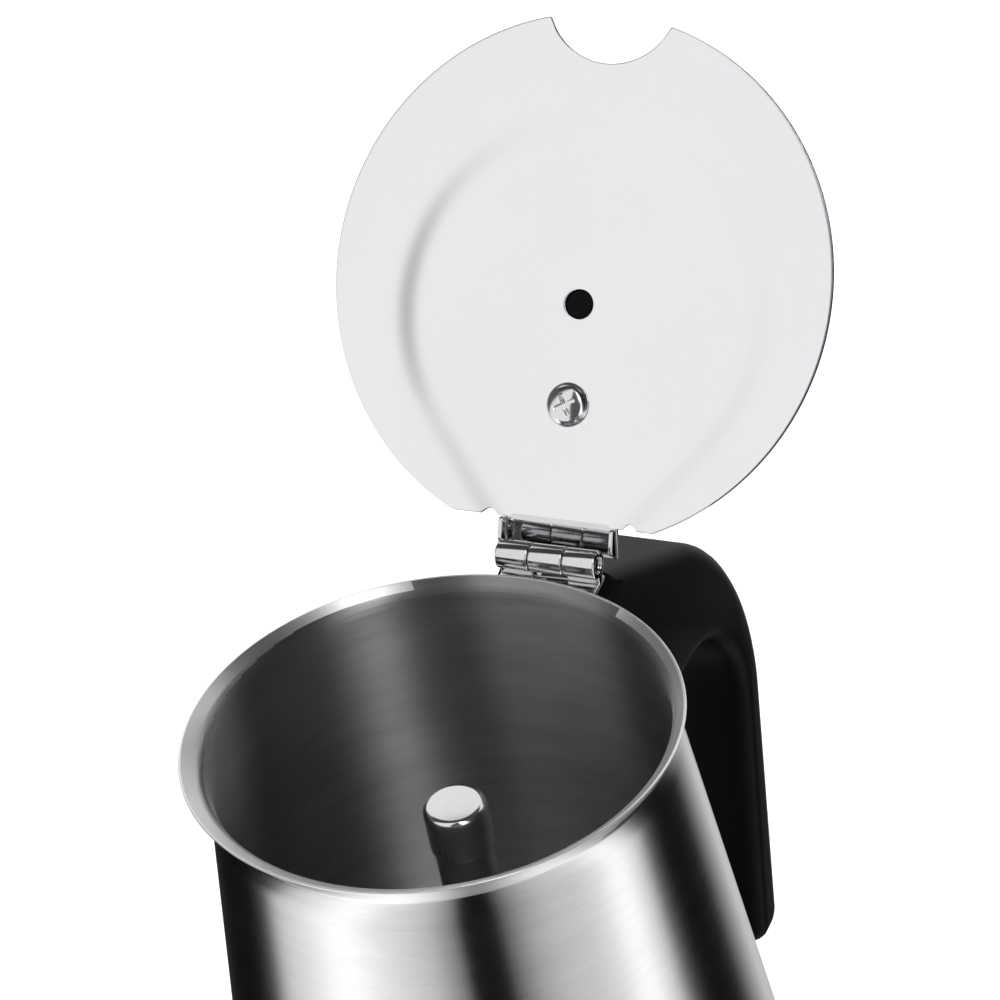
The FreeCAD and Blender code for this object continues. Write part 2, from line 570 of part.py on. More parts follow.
def make_valve():
    """The safety valve on the boiler's side: body, nut, spring and the pin that lifts."""
    hexagon = doc.addObject("Part::Prism", "valve_hexagon")
    hexagon.Polygon = 6
    bind(hexagon, Height="2 * valve_well", Circumradius="valve_hexagon")
    set_place(hexagon, ("0", "-boiler_radius", "valve_height"), X_AXIS, "90")
    nose = rod("valve_nose", "valve_nose", "9", ("0", "-boiler_radius", "valve_height"), X_AXIS, "90")
    shank = rod("valve_shank", "valve_shank", "6", ("0", "6 - boiler_radius", "valve_height"), X_AXIS, "90")
    well = rod("valve_well", "valve_well", "12", ("0", "4.5 - boiler_radius", "valve_height"), X_AXIS, "90")
    mouth = rod("valve_mouth", "valve_stem + running_fit", "20", ("0", "9 - boiler_radius", "valve_height"),
                X_AXIS, "90")
    solid = joined("valve_solid", [hexagon, nose, shank])
    keep(cut("valve_body_cut", solid, [well, mouth]), "valve_body")

    outer = rod("valve_nut_solid", "valve_nut", "2.6", ("0", "4.1 - boiler_radius", "valve_height"),
                X_AXIS, "90")
    inner = rod("valve_nut_bore", "valve_shank + running_fit", "8",
                ("0", "6 - boiler_radius", "valve_height"), X_AXIS, "90")
    keep(cut("valve_nut_cut", outer, [inner]), "valve_nut")

    stem = rod("valve_stem", "valve_stem", "15", ("0", "4.4 - boiler_radius", "valve_height"), X_AXIS, "90")
    collar = rod("valve_collar", "valve_collar", "1.2", ("0", "4.4 - boiler_radius", "valve_height"),
                 X_AXIS, "90")
    keep(joined("valve_pin_join", [stem, collar]), "valve_pin")

    coils = 5
    coil = val("spring_coil")
    length = val("spring_length")
    helix = Part.Wire(Part.makeHelix(length / coils, length, coil).Edges)
    section = Part.Wire(Part.makeCircle(val("spring_wire"), Vector(coil, 0, 0), Y_AXIS))
    spring = doc.addObject("Part::Feature", "valve_spring_coil")
    spring.Shape = Part.makeSolid(helix.makePipeShell([section], True, True))
    set_place(spring, ("0", "2.7 - boiler_radius", "valve_height"), X_AXIS, "90")
    keep(spring, "valve_spring")


# ---------------------------------------------------------------- funnel and seal
def make_funnel():
    """The coffee basket, the stem under it, and the screen that the ground coffee lies on."""
    stem = turned("funnel_stem_body", [
        ("stem_radius - funnel_sheet", "stem_bottom"), ("stem_radius", "stem_bottom"),
        ("stem_radius", "basket_bottom - 6"), ("stem_radius - funnel_sheet", "basket_bottom - 6")])
    keep(stem, "funnel_stem")
    basket = turned("funnel_basket_body", [
        ("stem_radius - funnel_sheet", "basket_bottom - 6"), ("stem_radius", "basket_bottom - 6"),
        ("basket_radius", "basket_bottom"),
        ("basket_radius", "neck_top"), ("flange_radius", "neck_top"),
        ("flange_radius", "neck_top + flange_thickness"),
        ("basket_radius - funnel_sheet", "neck_top + flange_thickness"),
        ("basket_radius - funnel_sheet", "basket_bottom + 0.3"),
        ("stem_radius - funnel_sheet", "basket_bottom - 5.7")])
    keep(basket, "funnel_basket")
    screen = turned("funnel_screen_body", [
        ("0", "basket_bottom + funnel_sheet"), ("basket_radius - 1", "basket_bottom + funnel_sheet"),
        ("basket_radius - 1", "basket_bottom + 2 * funnel_sheet"),
        ("0", "basket_bottom + 2 * funnel_sheet")])
    drilled(screen, "funnel_screen", [("0", "1", 1), ("7", "1", 6), ("14", "1", 12), ("21", "1", 18),
                                      ("28", "1", 24)], "basket_bottom - 1", "4")
    keep(screen, "funnel_screen")


def make_seal():
    """The gasket under the chamber and the filter plate that it holds."""
    seat = "neck_top + flange_thickness + slack"
    ring = turned("gasket_body", [
        ("gasket_inner", seat), ("flange_radius", seat),
        ("flange_radius", "gasket_top"), ("gasket_inner", "gasket_top")])
    keep(ring, "gasket_ring")
    plate = turned("filter_body", [
        ("0", "gasket_top"), ("flange_radius", "gasket_top"), ("flange_radius", "filter_top"),
        ("0", "filter_top")])
    drilled(plate, "filter", [("0", "0.9", 1), ("6", "0.9", 6), ("12", "0.9", 12), ("18", "0.9", 18),
                              ("24", "0.9", 24)], "gasket_top - 1", "4")
    keep(plate, "filter_plate")


# ---------------------------------------------------------------- coffee chamber
def flare(name, thinner):
    """Return the solid inside the wall's flare, less a thickness, from the wall to the lip."""
    rings = []
    stations = [
        ("flare_radius", "0", "rim_height - flare_drop", "0"),
        ("flare_radius - 0.1", "-0.3 * throat_shift", "rim_height - 2 * throat_drop", "rim_tilt / 2"),
        ("throat_radius", "-throat_shift", "rim_height - throat_drop", "rim_tilt"),
        ("rim_radius", "-rim_shift", "rim_height + rim_shift * tan(rim_tilt * 1 deg)", "rim_tilt"),
    ]
    for i, (radius, shift, height, tilt) in enumerate(stations):
        ring = doc.addObject("Part::Circle", "%s_ring%d" % (name, i))
        bind(ring, Radius="%s - %s" % (radius, thinner))
        rings.append(set_place(ring, (shift, "0", height), Y_AXIS, tilt))
    loft = doc.addObject("Part::Loft", name)
    loft.Sections = rings
    loft.Solid = True
    loft.Ruled = True
    return loft


def make_chamber():
    """The coffee chamber: conical wall, flared tilted rim, floor, collar, column and cap."""
    seam = "rim_height - flare_drop"
    wall = turned("chamber_wall_body", [
        ("collar_radius + sheet_steel", "floor_top - sheet_steel"),
        ("collar_radius + sheet_steel", "chamber_bottom + sheet_steel"),
        ("collar_radius + slack", "chamber_bottom + sheet_steel"),
        ("collar_radius + slack", "chamber_bottom"),
        ("chamber_radius", "chamber_bottom"), ("flare_radius", seam), ("flare_radius - sheet_steel", seam),
        ("chamber_radius - sheet_steel", "chamber_bottom + sheet_steel"),
        ("collar_radius + 2 * sheet_steel", "chamber_bottom + sheet_steel"),
        ("collar_radius + 2 * sheet_steel", "floor_top"), ("floor_hole", "floor_top"),
        ("floor_hole", "floor_top - sheet_steel")])
    lip = cut("chamber_lip", flare("flare_outer", "0"), [flare("flare_inner", "sheet_steel")])
    keep(joined("chamber_shell_join", [wall, lip]), "chamber_shell")

    collar = turned("collar_body", [
        ("neck_radius + 2 * running_fit", "collar_bottom"), ("collar_radius", "collar_bottom"),
        ("collar_radius", "floor_top - sheet_steel - slack"),
        ("neck_radius + 2 * running_fit", "floor_top - sheet_steel - slack")])
    keep(collar, "threaded_collar")

    tube = turned("column_tube_body", [
        ("column_bore", "floor_top - sheet_steel"), ("floor_hole - slack", "floor_top - sheet_steel"),
        ("floor_hole - slack", "floor_top"), ("column_foot", "floor_top"), ("column_foot", "floor_top + 0.8"),
        ("column_radius + 2.2", "floor_top + 5"), ("column_radius", "floor_top + 12"),
        ("column_radius", "cap_top - 2.5"), ("column_bore", "cap_top - 2.5")])
    keep(tube, "column_tube")

    cap = turned("column_cap_body", [
        ("column_radius + running_fit", "cap_top - cap_length"), ("cap_radius", "cap_top - cap_length"),
        ("cap_radius", "cap_top - 1.2"), ("cap_radius - 0.4", "cap_top - 0.5"),
        ("cap_radius - 1.2", "cap_top - 0.1"), ("cap_radius - 2.6", "cap_top"), ("0", "cap_top"),
        ("0", "cap_top - sheet_steel"),
        ("column_radius + running_fit", "cap_top - sheet_steel")])
    slot = box("cap_slot", ("-10", "-1", "cap_top - cap_length - 1"),
               ("10", "1", "cap_top - cap_length + 3"))
    keep(cut("column_cap_cut", cap, [slot]), "column_cap")


def make_hinge():
    """The steel bracket under the rim with its two outer knuckles, and the hinge pin."""
    height = "rim_height - hinge_drop"
    strip = box("bracket_strip", ("flare_radius - 1", "hinge_side - hinge_half", "rim_height - 9.1"),
                ("hinge_x + 1.6", "hinge_side + hinge_half", "rim_height - 8"))
    hollow = cone("bracket_wall", "chamber_radius + slack", "flare_radius + slack",
                  "rim_height - flare_drop - chamber_bottom", ("0", "0", "chamber_bottom"))
    throat = rod("bracket_throat", "flare_radius + 0.5", "20", ("0", "0", "rim_height - flare_drop - slack"))
    pieces = [cut("bracket_plate", strip, [hollow, throat])]
    middle = "(knuckle_half + 0.15)"
    for i, start in enumerate(("hinge_side - hinge_half", "hinge_side + %s" % middle)):
        length = "hinge_half - %s" % middle
        pieces.append(rod("bracket_knuckle%d" % i, "knuckle_radius", length,
                          ("hinge_x", "(%s) + (%s)" % (start, length), height), X_AXIS, "90"))
        pieces.append(box("bracket_web%d" % i, ("hinge_x - 1", start, "rim_height - 8.5"),
                          ("hinge_x + 1", "(%s) + (%s)" % (start, length), height)))
    bore = rod("bracket_bore", "pin_radius + running_fit", "40", ("hinge_x", "20", height), X_AXIS, "90")
    keep(cut("hinge_bracket_cut", joined("bracket_solid", pieces), [bore]), "hinge_bracket")
    pin = rod("hinge_pin_rod", "pin_radius", "2 * hinge_half - 0.6",
              ("hinge_x", "hinge_side + hinge_half - 0.3", height), X_AXIS, "90")
    keep(pin, "hinge_pin")


def make_handle():
    """The moulded handle, the steel lug on the chamber's wall that holds it, and its screw."""
    def depth(text):
        """Return the height of a depth below the rim."""
        return "rim_height - " + text

    body = slab("handle_body", [
        ("handle_neck - 9.8", depth("12.6")), ("handle_neck", depth("10.2")), ("handle_neck", depth("8")),
        ("handle_reach", depth("shoulder_drop")), ("tip_outer", depth("tip_drop")),
        ("tip_inner", depth("tip_drop")), ("gap_outer", depth("gap_drop")), ("gap_inner", depth("gap_drop")),
        ("gap_inner - 15", depth("74"))], "handle_width")

    near = val("slack")
    side = val("handle_neck") + near

    def corner(x, down):
        """Return a test for the edge that stands on one corner of the outline."""
        return lambda edge: (abs(edge.BoundBox.XMin - val(x)) < near and edge.BoundBox.XLength < near
                             and abs(edge.BoundBox.ZMin - val(depth(down))) < near)

    rounded(body, "handle_corner", corner("handle_reach", "shoulder_drop"))
    rounded(body, "grip_corner", corner("gap_outer", "gap_drop"))
    rounded(body, "16", corner("gap_inner", "gap_drop"))
    rounded(body, "5", corner("tip_outer", "tip_drop"))
    rounded(body, "4", corner("tip_inner", "tip_drop"))
    half = val("handle_width") / 2
    rounded(body, "handle_edge", lambda edge: (edge.BoundBox.YLength < near and edge.BoundBox.XMin > side
                                               and abs(abs(edge.BoundBox.YMin) - half) < near))
    stand = "rim_height - flare_drop - chamber_bottom"
    axis_foot = ("0", "0", "chamber_bottom")
    wall = cone("handle_wall", "chamber_radius + gap", "flare_radius + gap", stand, axis_foot)
    throat = rod("handle_throat", "flare_radius + gap", "30", ("0", "0", "rim_height - flare_drop - slack"))
    lug_seat = box("lug_seat", ("40", "-lug_half - 0.2", depth("(lug_drop + 0.2)")),
                   ("58.2", "lug_half + 0.2", depth("(lug_top - 0.2)")))
    screw_way = rod("screw_way", "2.2", "20", ("lug_screw", "0", depth("56")))
    head_way = rod("head_way", "4.3", "13", ("lug_screw", "0", depth("68")))
    keep(cut("handle_cut", body, [wall, throat, lug_seat, screw_way, head_way]), "handle")

    strap = box("lug_strap", ("40", "-lug_half", depth("lug_drop")), ("48", "lug_half", depth("lug_top")))
    boss = box("lug_boss", ("44", "-5", depth("46")), ("58", "5", depth("32")))
    inner = cone("lug_wall", "chamber_radius + running_fit", "flare_radius + running_fit", stand, axis_foot)
    thread = rod("lug_thread", "2.05", "20", ("lug_screw", "0", depth("50")))
    keep(cut("handle_lug_cut", joined("lug_solid", [strap, boss]), [inner, thread]), "handle_lug")

    shank = rod("handle_screw_shank", "2", "18", ("lug_screw", "0", depth("55.2")))
    head = rod("handle_screw_head", "4", "2.6", ("lug_screw", "0", depth("57.7")))
    keep(joined("handle_screw_join", [shank, head]), "handle_screw")


# ---------------------------------------------------------------- lid
def on_lid(thing):
    """Swing a piece drawn along the lid, hinge at the origin, to the open lid's place."""
    place = ("hinge_x", "0", "rim_height - hinge_drop")
    return set_place(thing, place, Y_AXIS, "-lid_angle")


def make_lid():
    """The lid with its dish and notch, the hinge leaf, the knob and its screw."""
    sheet_disc = rod("lid_disc", "lid_radius", "lid_sheet", ("lid_reach", "0", "-lid_offset - lid_sheet"))
    dish = cone("lid_dish", "dish_radius - dish_depth", "dish_radius", "dish_depth",
                ("dish_reach", "0", "-lid_offset - lid_sheet - dish_depth"))
    hollow = cone("lid_hollow", "dish_radius - dish_depth - 0.4", "dish_radius - 0.4", "dish_depth",
                  ("dish_reach", "0", "-lid_offset - dish_depth"))
    peg_hole = rod("lid_peg_hole", "peg_hole", "2 * spare", ("peg_reach", "0", "-8"))
    screw_hole = rod("lid_screw_hole", "2.2", "2 * spare", ("knob_reach", "0", "-8"))
    notch = rod("lid_notch", "notch_radius", "2 * spare", ("notch_reach", "0", "-8"))
    straight = box("lid_straight", ("-10", "-30", "-8"), ("tab_edge", "30", "2"))
    pressed = joined("lid_solid", [sheet_disc, dish])
    lid = cut("lid_cut", pressed, [hollow, peg_hole, screw_hole, notch, straight])
    carrier = doc.addObject("Part::Compound", "lid_carrier")
    carrier.Links = [lid]
    keep(on_lid(carrier), "lid_plate")

    back = "-lid_offset - lid_sheet - dish_depth - 0.6"
    half = "hinge_half + 0.5"
    foot = ("tab_edge - 0.3 - leaf_length * cos(leaf_bend * 1 deg)",
            "-lid_offset - dish_depth + 0.6 - leaf_length * sin(leaf_bend * 1 deg)")

    def along_leaf(name, start, width, height):
        """Return a box that lies along the leaf, from its foot to its fold."""
        piece = doc.addObject("Part::Box", name)
        bind(piece, Length="leaf_length", Width=width, Height=height)
        return set_place(piece, (foot[0], start, foot[1]), Y_AXIS, "-leaf_bend")

    web = along_leaf("leaf_web", "hinge_side - (%s) - 1" % half, "2 * (%s) + 2" % half, "leaf_sheet")
    flanges = [along_leaf("leaf_flange0", "hinge_side - (%s) - 1" % half, "1", "3.2"),
               along_leaf("leaf_flange1", "hinge_side + (%s)" % half, "1", "3.2")]
    link = box("leaf_link", ("0.2", "hinge_side - knuckle_half", "-knuckle_radius - 2.9"),
               ("1.9", "hinge_side + knuckle_half", "0.8 - knuckle_radius"))
    tongue = box("leaf_tongue", ("tab_edge - 1.2", "hinge_side - 8", back),
                 ("tab_edge + 3.2", "hinge_side + 8", "-lid_offset - lid_sheet - 0.02"))
    knuckle = rod("leaf_knuckle", "knuckle_radius", "2 * knuckle_half",
                  ("0", "hinge_side + knuckle_half", "0"), X_AXIS, "90")
    bore = rod("leaf_bore", "pin_radius + running_fit", "40", ("0", "20", "0"), X_AXIS, "90")
    leaf = cut("leaf_cut", joined("leaf_solid", [web, link, tongue, knuckle] + flanges), [bore])
    leaf_carrier = doc.addObject("Part::Compound", "leaf_carrier")
    leaf_carrier.Links = [leaf]
    keep(on_lid(leaf_carrier), "hinge_leaf")

    knob = slab("lid_knob_body", [
        ("knob_reach - 8.5", "0"), ("peg_reach + 10.5", "0"), ("peg_reach + 15", "3 - knob_length"),
        ("peg_reach + 12", "-knob_length"), ("peg_reach - 3", "6.5 - knob_length"),
        ("knob_reach - 8.5", "-6")], "knob_width")
    half_width = val("knob_width") / 2
    rounded(knob, "knob_edge", lambda edge: (edge.BoundBox.YLength < 0.01 and edge.BoundBox.ZMin < -0.1
                                             and abs(abs(edge.BoundBox.YMin) - half_width) < 0.01))
    peg = rod("knob_peg", "peg_hole - 0.3", "1.1", ("peg_reach", "0", "-0.5"))
    screw_way = rod("knob_screw_way", "2.1", "6", ("knob_reach", "0", "-5.5"))
    knob_solid = cut("lid_knob_cut", joined("lid_knob_solid", [knob, peg]), [screw_way])
    bind(knob_solid, Placement__Base__z="-lid_offset - lid_sheet - dish_depth - 0.02")
    knob_carrier = doc.addObject("Part::Compound", "knob_carrier")
    knob_carrier.Links = [knob_solid]
    keep(on_lid(knob_carrier), "lid_knob")

    shank = rod("knob_screw_shank", "2", "6.9", ("knob_reach", "0", "-lid_offset - dish_depth - 4.9"))
    head = rod("knob_screw_head", "4", "2", ("knob_reach", "0", "-lid_offset - dish_depth"))
    screw = joined("knob_screw_join", [shank, head])
    screw_carrier = doc.addObject("Part::Compound", "knob_screw_carrier")
    screw_carrier.Links = [screw]
    keep(on_lid(screw_carrier), "knob_screw")


def check_document():
    """Stop if any object of the document failed or any node has no sound shape."""
    doc.recompute()
    for thing in doc.Objects:
        if "Invalid" in thing.State or "Error" in thing.State:
            raise RuntimeError("%s failed: %s" % (thing.Name, thing.State))
    for node in nodes:
        if node.Shape.isNull() or not node.Shape.isValid() or not node.Shape.Solids:
            raise RuntimeError("%s has no sound shape" % node.Label)


def export_nodes():
    """Write each node's shape to a STEP file named after it."""
    os.makedirs("parts", exist_ok=True)
    for node in nodes:
        node.Shape.exportStep("parts/%s.step" % node.Label)
        print("%-18s %2d solid(s) %10.1f mm3" % (node.Label, len(node.Shape.Solids), node.Shape.Volume))


make_base()
make_switch()
make_heater()
make_boiler()
make_valve()
make_funnel()
make_seal()
make_chamber()
make_hinge()
make_handle()
make_lid()
check_document()
export_nodes()
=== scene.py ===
"""Electric moka pot on its power base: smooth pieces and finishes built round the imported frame."""
import logging
import math
from dataclasses import dataclass
from enum import Enum
from typing import Callable, Optional, Sequence, Union

import bmesh
import bpy
from mathutils import Matrix, Vector


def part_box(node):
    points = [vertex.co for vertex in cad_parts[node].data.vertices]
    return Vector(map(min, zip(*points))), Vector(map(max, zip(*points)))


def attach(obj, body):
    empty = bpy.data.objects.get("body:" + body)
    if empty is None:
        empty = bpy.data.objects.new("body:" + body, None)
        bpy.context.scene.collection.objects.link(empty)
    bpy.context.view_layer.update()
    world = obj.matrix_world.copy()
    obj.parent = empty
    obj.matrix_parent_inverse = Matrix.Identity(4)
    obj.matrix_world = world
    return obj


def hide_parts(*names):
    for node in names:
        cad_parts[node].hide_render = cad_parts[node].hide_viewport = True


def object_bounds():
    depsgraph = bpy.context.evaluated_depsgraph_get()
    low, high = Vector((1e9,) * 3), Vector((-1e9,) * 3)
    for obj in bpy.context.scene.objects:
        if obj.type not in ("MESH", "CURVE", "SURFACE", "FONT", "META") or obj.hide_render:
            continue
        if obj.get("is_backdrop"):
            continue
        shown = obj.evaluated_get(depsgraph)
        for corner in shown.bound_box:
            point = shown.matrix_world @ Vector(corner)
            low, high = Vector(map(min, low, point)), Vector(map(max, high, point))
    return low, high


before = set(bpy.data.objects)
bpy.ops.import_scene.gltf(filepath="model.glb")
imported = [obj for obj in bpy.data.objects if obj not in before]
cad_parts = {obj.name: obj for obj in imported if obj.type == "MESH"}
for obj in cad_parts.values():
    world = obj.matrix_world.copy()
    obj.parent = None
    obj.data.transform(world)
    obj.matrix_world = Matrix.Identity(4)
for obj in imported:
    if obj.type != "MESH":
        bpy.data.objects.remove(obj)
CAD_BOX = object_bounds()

LOG = logging.getLogger("moka_pot")
MM = 0.001
TURN = 2 * math.pi
SHARP_ANGLE = math.radians(38)
FOLD_ANGLE = math.radians(60)
WELD = 1e-6
COAT_ROUGHNESS = 0.12
QUARTER_TURN = 0.25
Corner = tuple[float, ...]
Shape = bmesh.types.BMesh
Socket = bpy.types.NodeSocket
Link = Union[Socket, float, tuple[float, ...]]
Inputs = dict[Union[str, int], Link]
Stops = Sequence[tuple[float, float]]


class Axis(Enum):
    """The direction that a turned piece's own axis is laid along."""

    UP = "up"
    FRONT_TO_BACK = "front to back"
    SIDE_TO_SIDE = "side to side"

    def turn(self) -> Matrix:
        """Returns the rotation that takes +Z to this direction."""
        if self is Axis.FRONT_TO_BACK:
            return Matrix.Rotation(-math.pi / 2, 4, "X")
        if self is Axis.SIDE_TO_SIDE:
            return Matrix.Rotation(math.pi / 2, 4, "Y")
        return Matrix.Identity(4)


# ------------------------------------------------------------------ shaping
def setback(before: Vector, corner: Vector, after: Vector, radius: float) -> float:
    """Works out how far from a corner a round of a given radius starts.

    Args:
        before: The point before the corner.
        corner: The corner.
        after: The point after the corner.
        radius: The radius of the round.

    Returns:
        The distance along each side.
    """
    turn = (corner - before).angle(after - corner)
    return radius * math.tan(turn / 2)


def rounded(bm: Shape, items: Sequence[object], reach: float, segments: int, affect: str = "EDGES") -> None:
    """Rounds edges or corners of a shape.

    Args:
        bm: The shape, which is changed.
        items: The edges or vertices to round.
        reach: How far along the sides the round starts, in metres.
        segments: The number of sides in each round.
        affect: EDGES or VERTICES.
    """
    bmesh.ops.bevel(bm, geom=items, offset=reach, offset_type="OFFSET", segments=segments, profile=0.5,
                    affect=affect, material=-1, clamp_overlap=False)


def spun(bm: Shape, steps: int) -> None:
    """Turns everything in a shape a full turn about the Z axis.

    Args:
        bm: The shape, which is changed.
        steps: The number of facets round the axis.
    """
    bmesh.ops.spin(bm, geom=bm.verts[:] + bm.edges[:], cent=(0, 0, 0), axis=(0, 0, 1), dvec=(0, 0, 0),
                   angle=TURN, steps=steps, use_merge=True, use_duplicate=False)


def wire(corners: Sequence[Corner], closed: bool, segments: int = 6) -> Shape:
    """Draws an outline in the XZ plane and rounds its corners.

    Args:
        corners: Millimetres across and up, and a third number for a corner's radius.
        closed: Whether the last corner joins the first.
        segments: The number of sides in each round.

    Returns:
        A bmesh of vertices and edges, in metres.
    """
    bm = bmesh.new()
    spots = [Vector((c[0] * MM, 0, c[1] * MM)) for c in corners]
    verts = [bm.verts.new(spot) for spot in spots]
    for first, second in zip(verts, verts[1:]):
        bm.edges.new((first, second))
    if closed:
        bm.edges.new((verts[-1], verts[0]))
    count = len(corners)
    for i, corner in enumerate(corners):
        if len(corner) > 2:
            reach = setback(spots[i - 1], spots[i], spots[(i + 1) % count], corner[2] * MM)
            rounded(bm, [verts[i]], reach, segments, "VERTICES")
    return bm


def lathe(corners: Sequence[Corner], closed: bool = True, steps: int = 96, segments: int = 6) -> Shape:
    """Turns an outline about the Z axis into a closed shape.

    Args:
        corners: Radius and height in millimetres, and a third number for a corner's radius.
        closed: Whether the outline is a ring; otherwise both of its ends are on the axis.
        steps: The number of facets round the axis.
        segments: The number of sides in each round.

    Returns:
        The turned shape with its faces pointing outwards.
    """
    bm = wire(corners, closed, segments)
    spun(bm, steps)
    bmesh.ops.remove_doubles(bm, verts=bm.verts[:], dist=WELD)
    bmesh.ops.recalc_face_normals(bm, faces=bm.faces[:])
    return bm


def slab(corners: Sequence[Corner], low: float, high: float, edge: float, segments: int = 8) -> Shape:
    """Pads an outline of the XZ plane along Y and rounds the edges of its two flat sides.

    Args:
        corners: Millimetres across and up, and a third number for a corner's radius.
        low: The lower end along Y in millimetres.
        high: The upper end along Y in millimetres.
        edge: The radius of the sides' edges in millimetres.
        segments: The number of sides in each round of the outline.

    Returns:
        The padded shape with its faces pointing outwards.
    """
    bm = wire(corners, True, segments)
    face = bmesh.ops.contextual_create(bm, geom=bm.edges[:])["faces"][0]
    bmesh.ops.translate(bm, verts=bm.verts[:], vec=(0, low * MM, 0))
    far = bmesh.ops.extrude_face_region(bm, geom=[face], use_keep_orig=True)["geom"]
    moved = [item for item in far if isinstance(item, bmesh.types.BMVert)]
    bmesh.ops.translate(bm, verts=moved, vec=(0, (high - low) * MM, 0))
    bmesh.ops.recalc_face_normals(bm, faces=bm.faces[:])
    if edge:
        rims = [e for e in bm.edges if abs(e.verts[0].co.y - e.verts[1].co.y) < WELD]
        rounded(bm, rims, edge * MM, 5)
    return bm


def block(low: Corner, high: Corner, edge: float = 0.3, segments: int = 3) -> Shape:
    """Makes a box with rounded edges.

    Args:
        low: The lowest corner in millimetres.
        high: The highest corner in millimetres.
        edge: The radius of the edges in millimetres.
        segments: The number of sides in each round.

    Returns:
        The box.
    """
    bm = bmesh.new()
    size = [(h - l) * MM for l, h in zip(low, high)]
    middle = Vector([(h + l) / 2 * MM for l, h in zip(low, high)])
    bmesh.ops.create_cube(bm, size=1.0)
    bmesh.ops.scale(bm, vec=size, verts=bm.verts[:])
    bmesh.ops.translate(bm, vec=middle, verts=bm.verts[:])
    if edge:
        rounded(bm, bm.edges[:], edge * MM, segments)
    return bm


def place(bm: Shape, at: Corner = (0, 0, 0), axis: Axis = Axis.UP) -> Shape:
    """Lays a shape's Z axis along a direction and moves it.

    Args:
        bm: The shape, which is changed.
        at: Where its origin goes, in millimetres.
        axis: Where its Z axis points.

    Returns:
        The same shape.
    """
    bmesh.ops.transform(bm, matrix=Matrix.Translation(Vector(at) * MM) @ axis.turn(), verts=bm.verts[:])
    return bm


def turned(bm: Shape, degrees: float, axis: str) -> Shape:
    """Turns a shape about an axis through the origin.

    Args:
        bm: The shape, which is changed.
        degrees: The angle.
        axis: X, Y or Z.

    Returns:
        The same shape.
    """
    turn = Matrix.Rotation(math.radians(degrees), 3, axis)
    bmesh.ops.rotate(bm, verts=bm.verts[:], cent=(0, 0, 0), matrix=turn)
    return bm


def rod(radius: float, length: float, at: Corner, axis: Axis = Axis.UP, edge: float = 0.0,
        steps: int = 48) -> Shape:
    """Makes a plain round bar that starts at a point.

    Args:
        radius: Its radius in millimetres.
        length: Its length in millimetres.
        at: The middle of its first end in millimetres.
        axis: Its direction.
        edge: The round of its ends in millimetres.
        steps: The number of facets round it.

    Returns:
        The bar.
    """
    rounding = (edge,) if edge else ()
    corners = [(0, 0), (radius, 0) + rounding, (radius, length) + rounding, (0, length)]
    return place(lathe(corners, False, steps, 3), at, axis)


def groove(face: float, root: float, start: float, run: float, flat: float) -> list[Corner]:
    """Draws the outline of one ring-shaped groove for a lathe.

    Args:
        face: The radius beside the groove in millimetres.
        root: The radius at its bottom.
        start: The height where it starts.
        run: The height of each sloping side, negative for a groove drawn downwards.
        flat: The height of its bottom, with the same sign.

    Returns:
        Its four corners.
    """
    edge = 0.2
    return [(face, start, edge), (root, start + run, edge), (root, start + run + flat, edge),
            (face, start + 2 * run + flat, edge)]


def merged(parts: Sequence[Shape]) -> Shape:
    """Puts several shapes into one mesh without joining their faces.

    Args:
        parts: The shapes, which are freed.

    Returns:
        One shape that holds them all.
    """
    whole = bmesh.new()
    for part in parts:
        mesh = bpy.data.meshes.new("part")
        part.to_mesh(mesh)
        part.free()
        whole.from_mesh(mesh)
        bpy.data.meshes.remove(mesh)
    return whole


def as_object(bm: Shape, name: str) -> bpy.types.Object:
    """Turns a shape into an object of the scene.

    Args:
        bm: The shape, which is freed.
        name: The object's name.

    Returns:
        The object, at the origin.
    """
    mesh = bpy.data.meshes.new(name)
    bm.to_mesh(mesh)
    bm.free()
    thing = bpy.data.objects.new(name, mesh)
    bpy.context.scene.collection.objects.link(thing)
    return thing


def carved(bm: Shape, tools: Sequence[Shape]) -> Shape:
    """Cuts tools out of a shape.

    Args:
        bm: The shape, which is freed.
        tools: The tools, which are freed.

    Returns:
        The new shape.
    """
    base = as_object(bm, "carving")
    helpers = [as_object(tool, "tool") for tool in tools]
    for helper in helpers:
        cut = base.modifiers.new("cut", "BOOLEAN")
        cut.operation = "DIFFERENCE"
        cut.solver = "EXACT"
        cut.object = helper
    graph = bpy.context.evaluated_depsgraph_get()
    result = bpy.data.meshes.new_from_object(base.evaluated_get(graph))
    made = bmesh.new()
    made.from_mesh(result)
    for thing in [base] + helpers:
        mesh = thing.data
        bpy.data.objects.remove(thing)
        bpy.data.meshes.remove(mesh)
    bpy.data.meshes.remove(result)
    bmesh.ops.remove_doubles(made, verts=made.verts[:], dist=WELD)
    return made


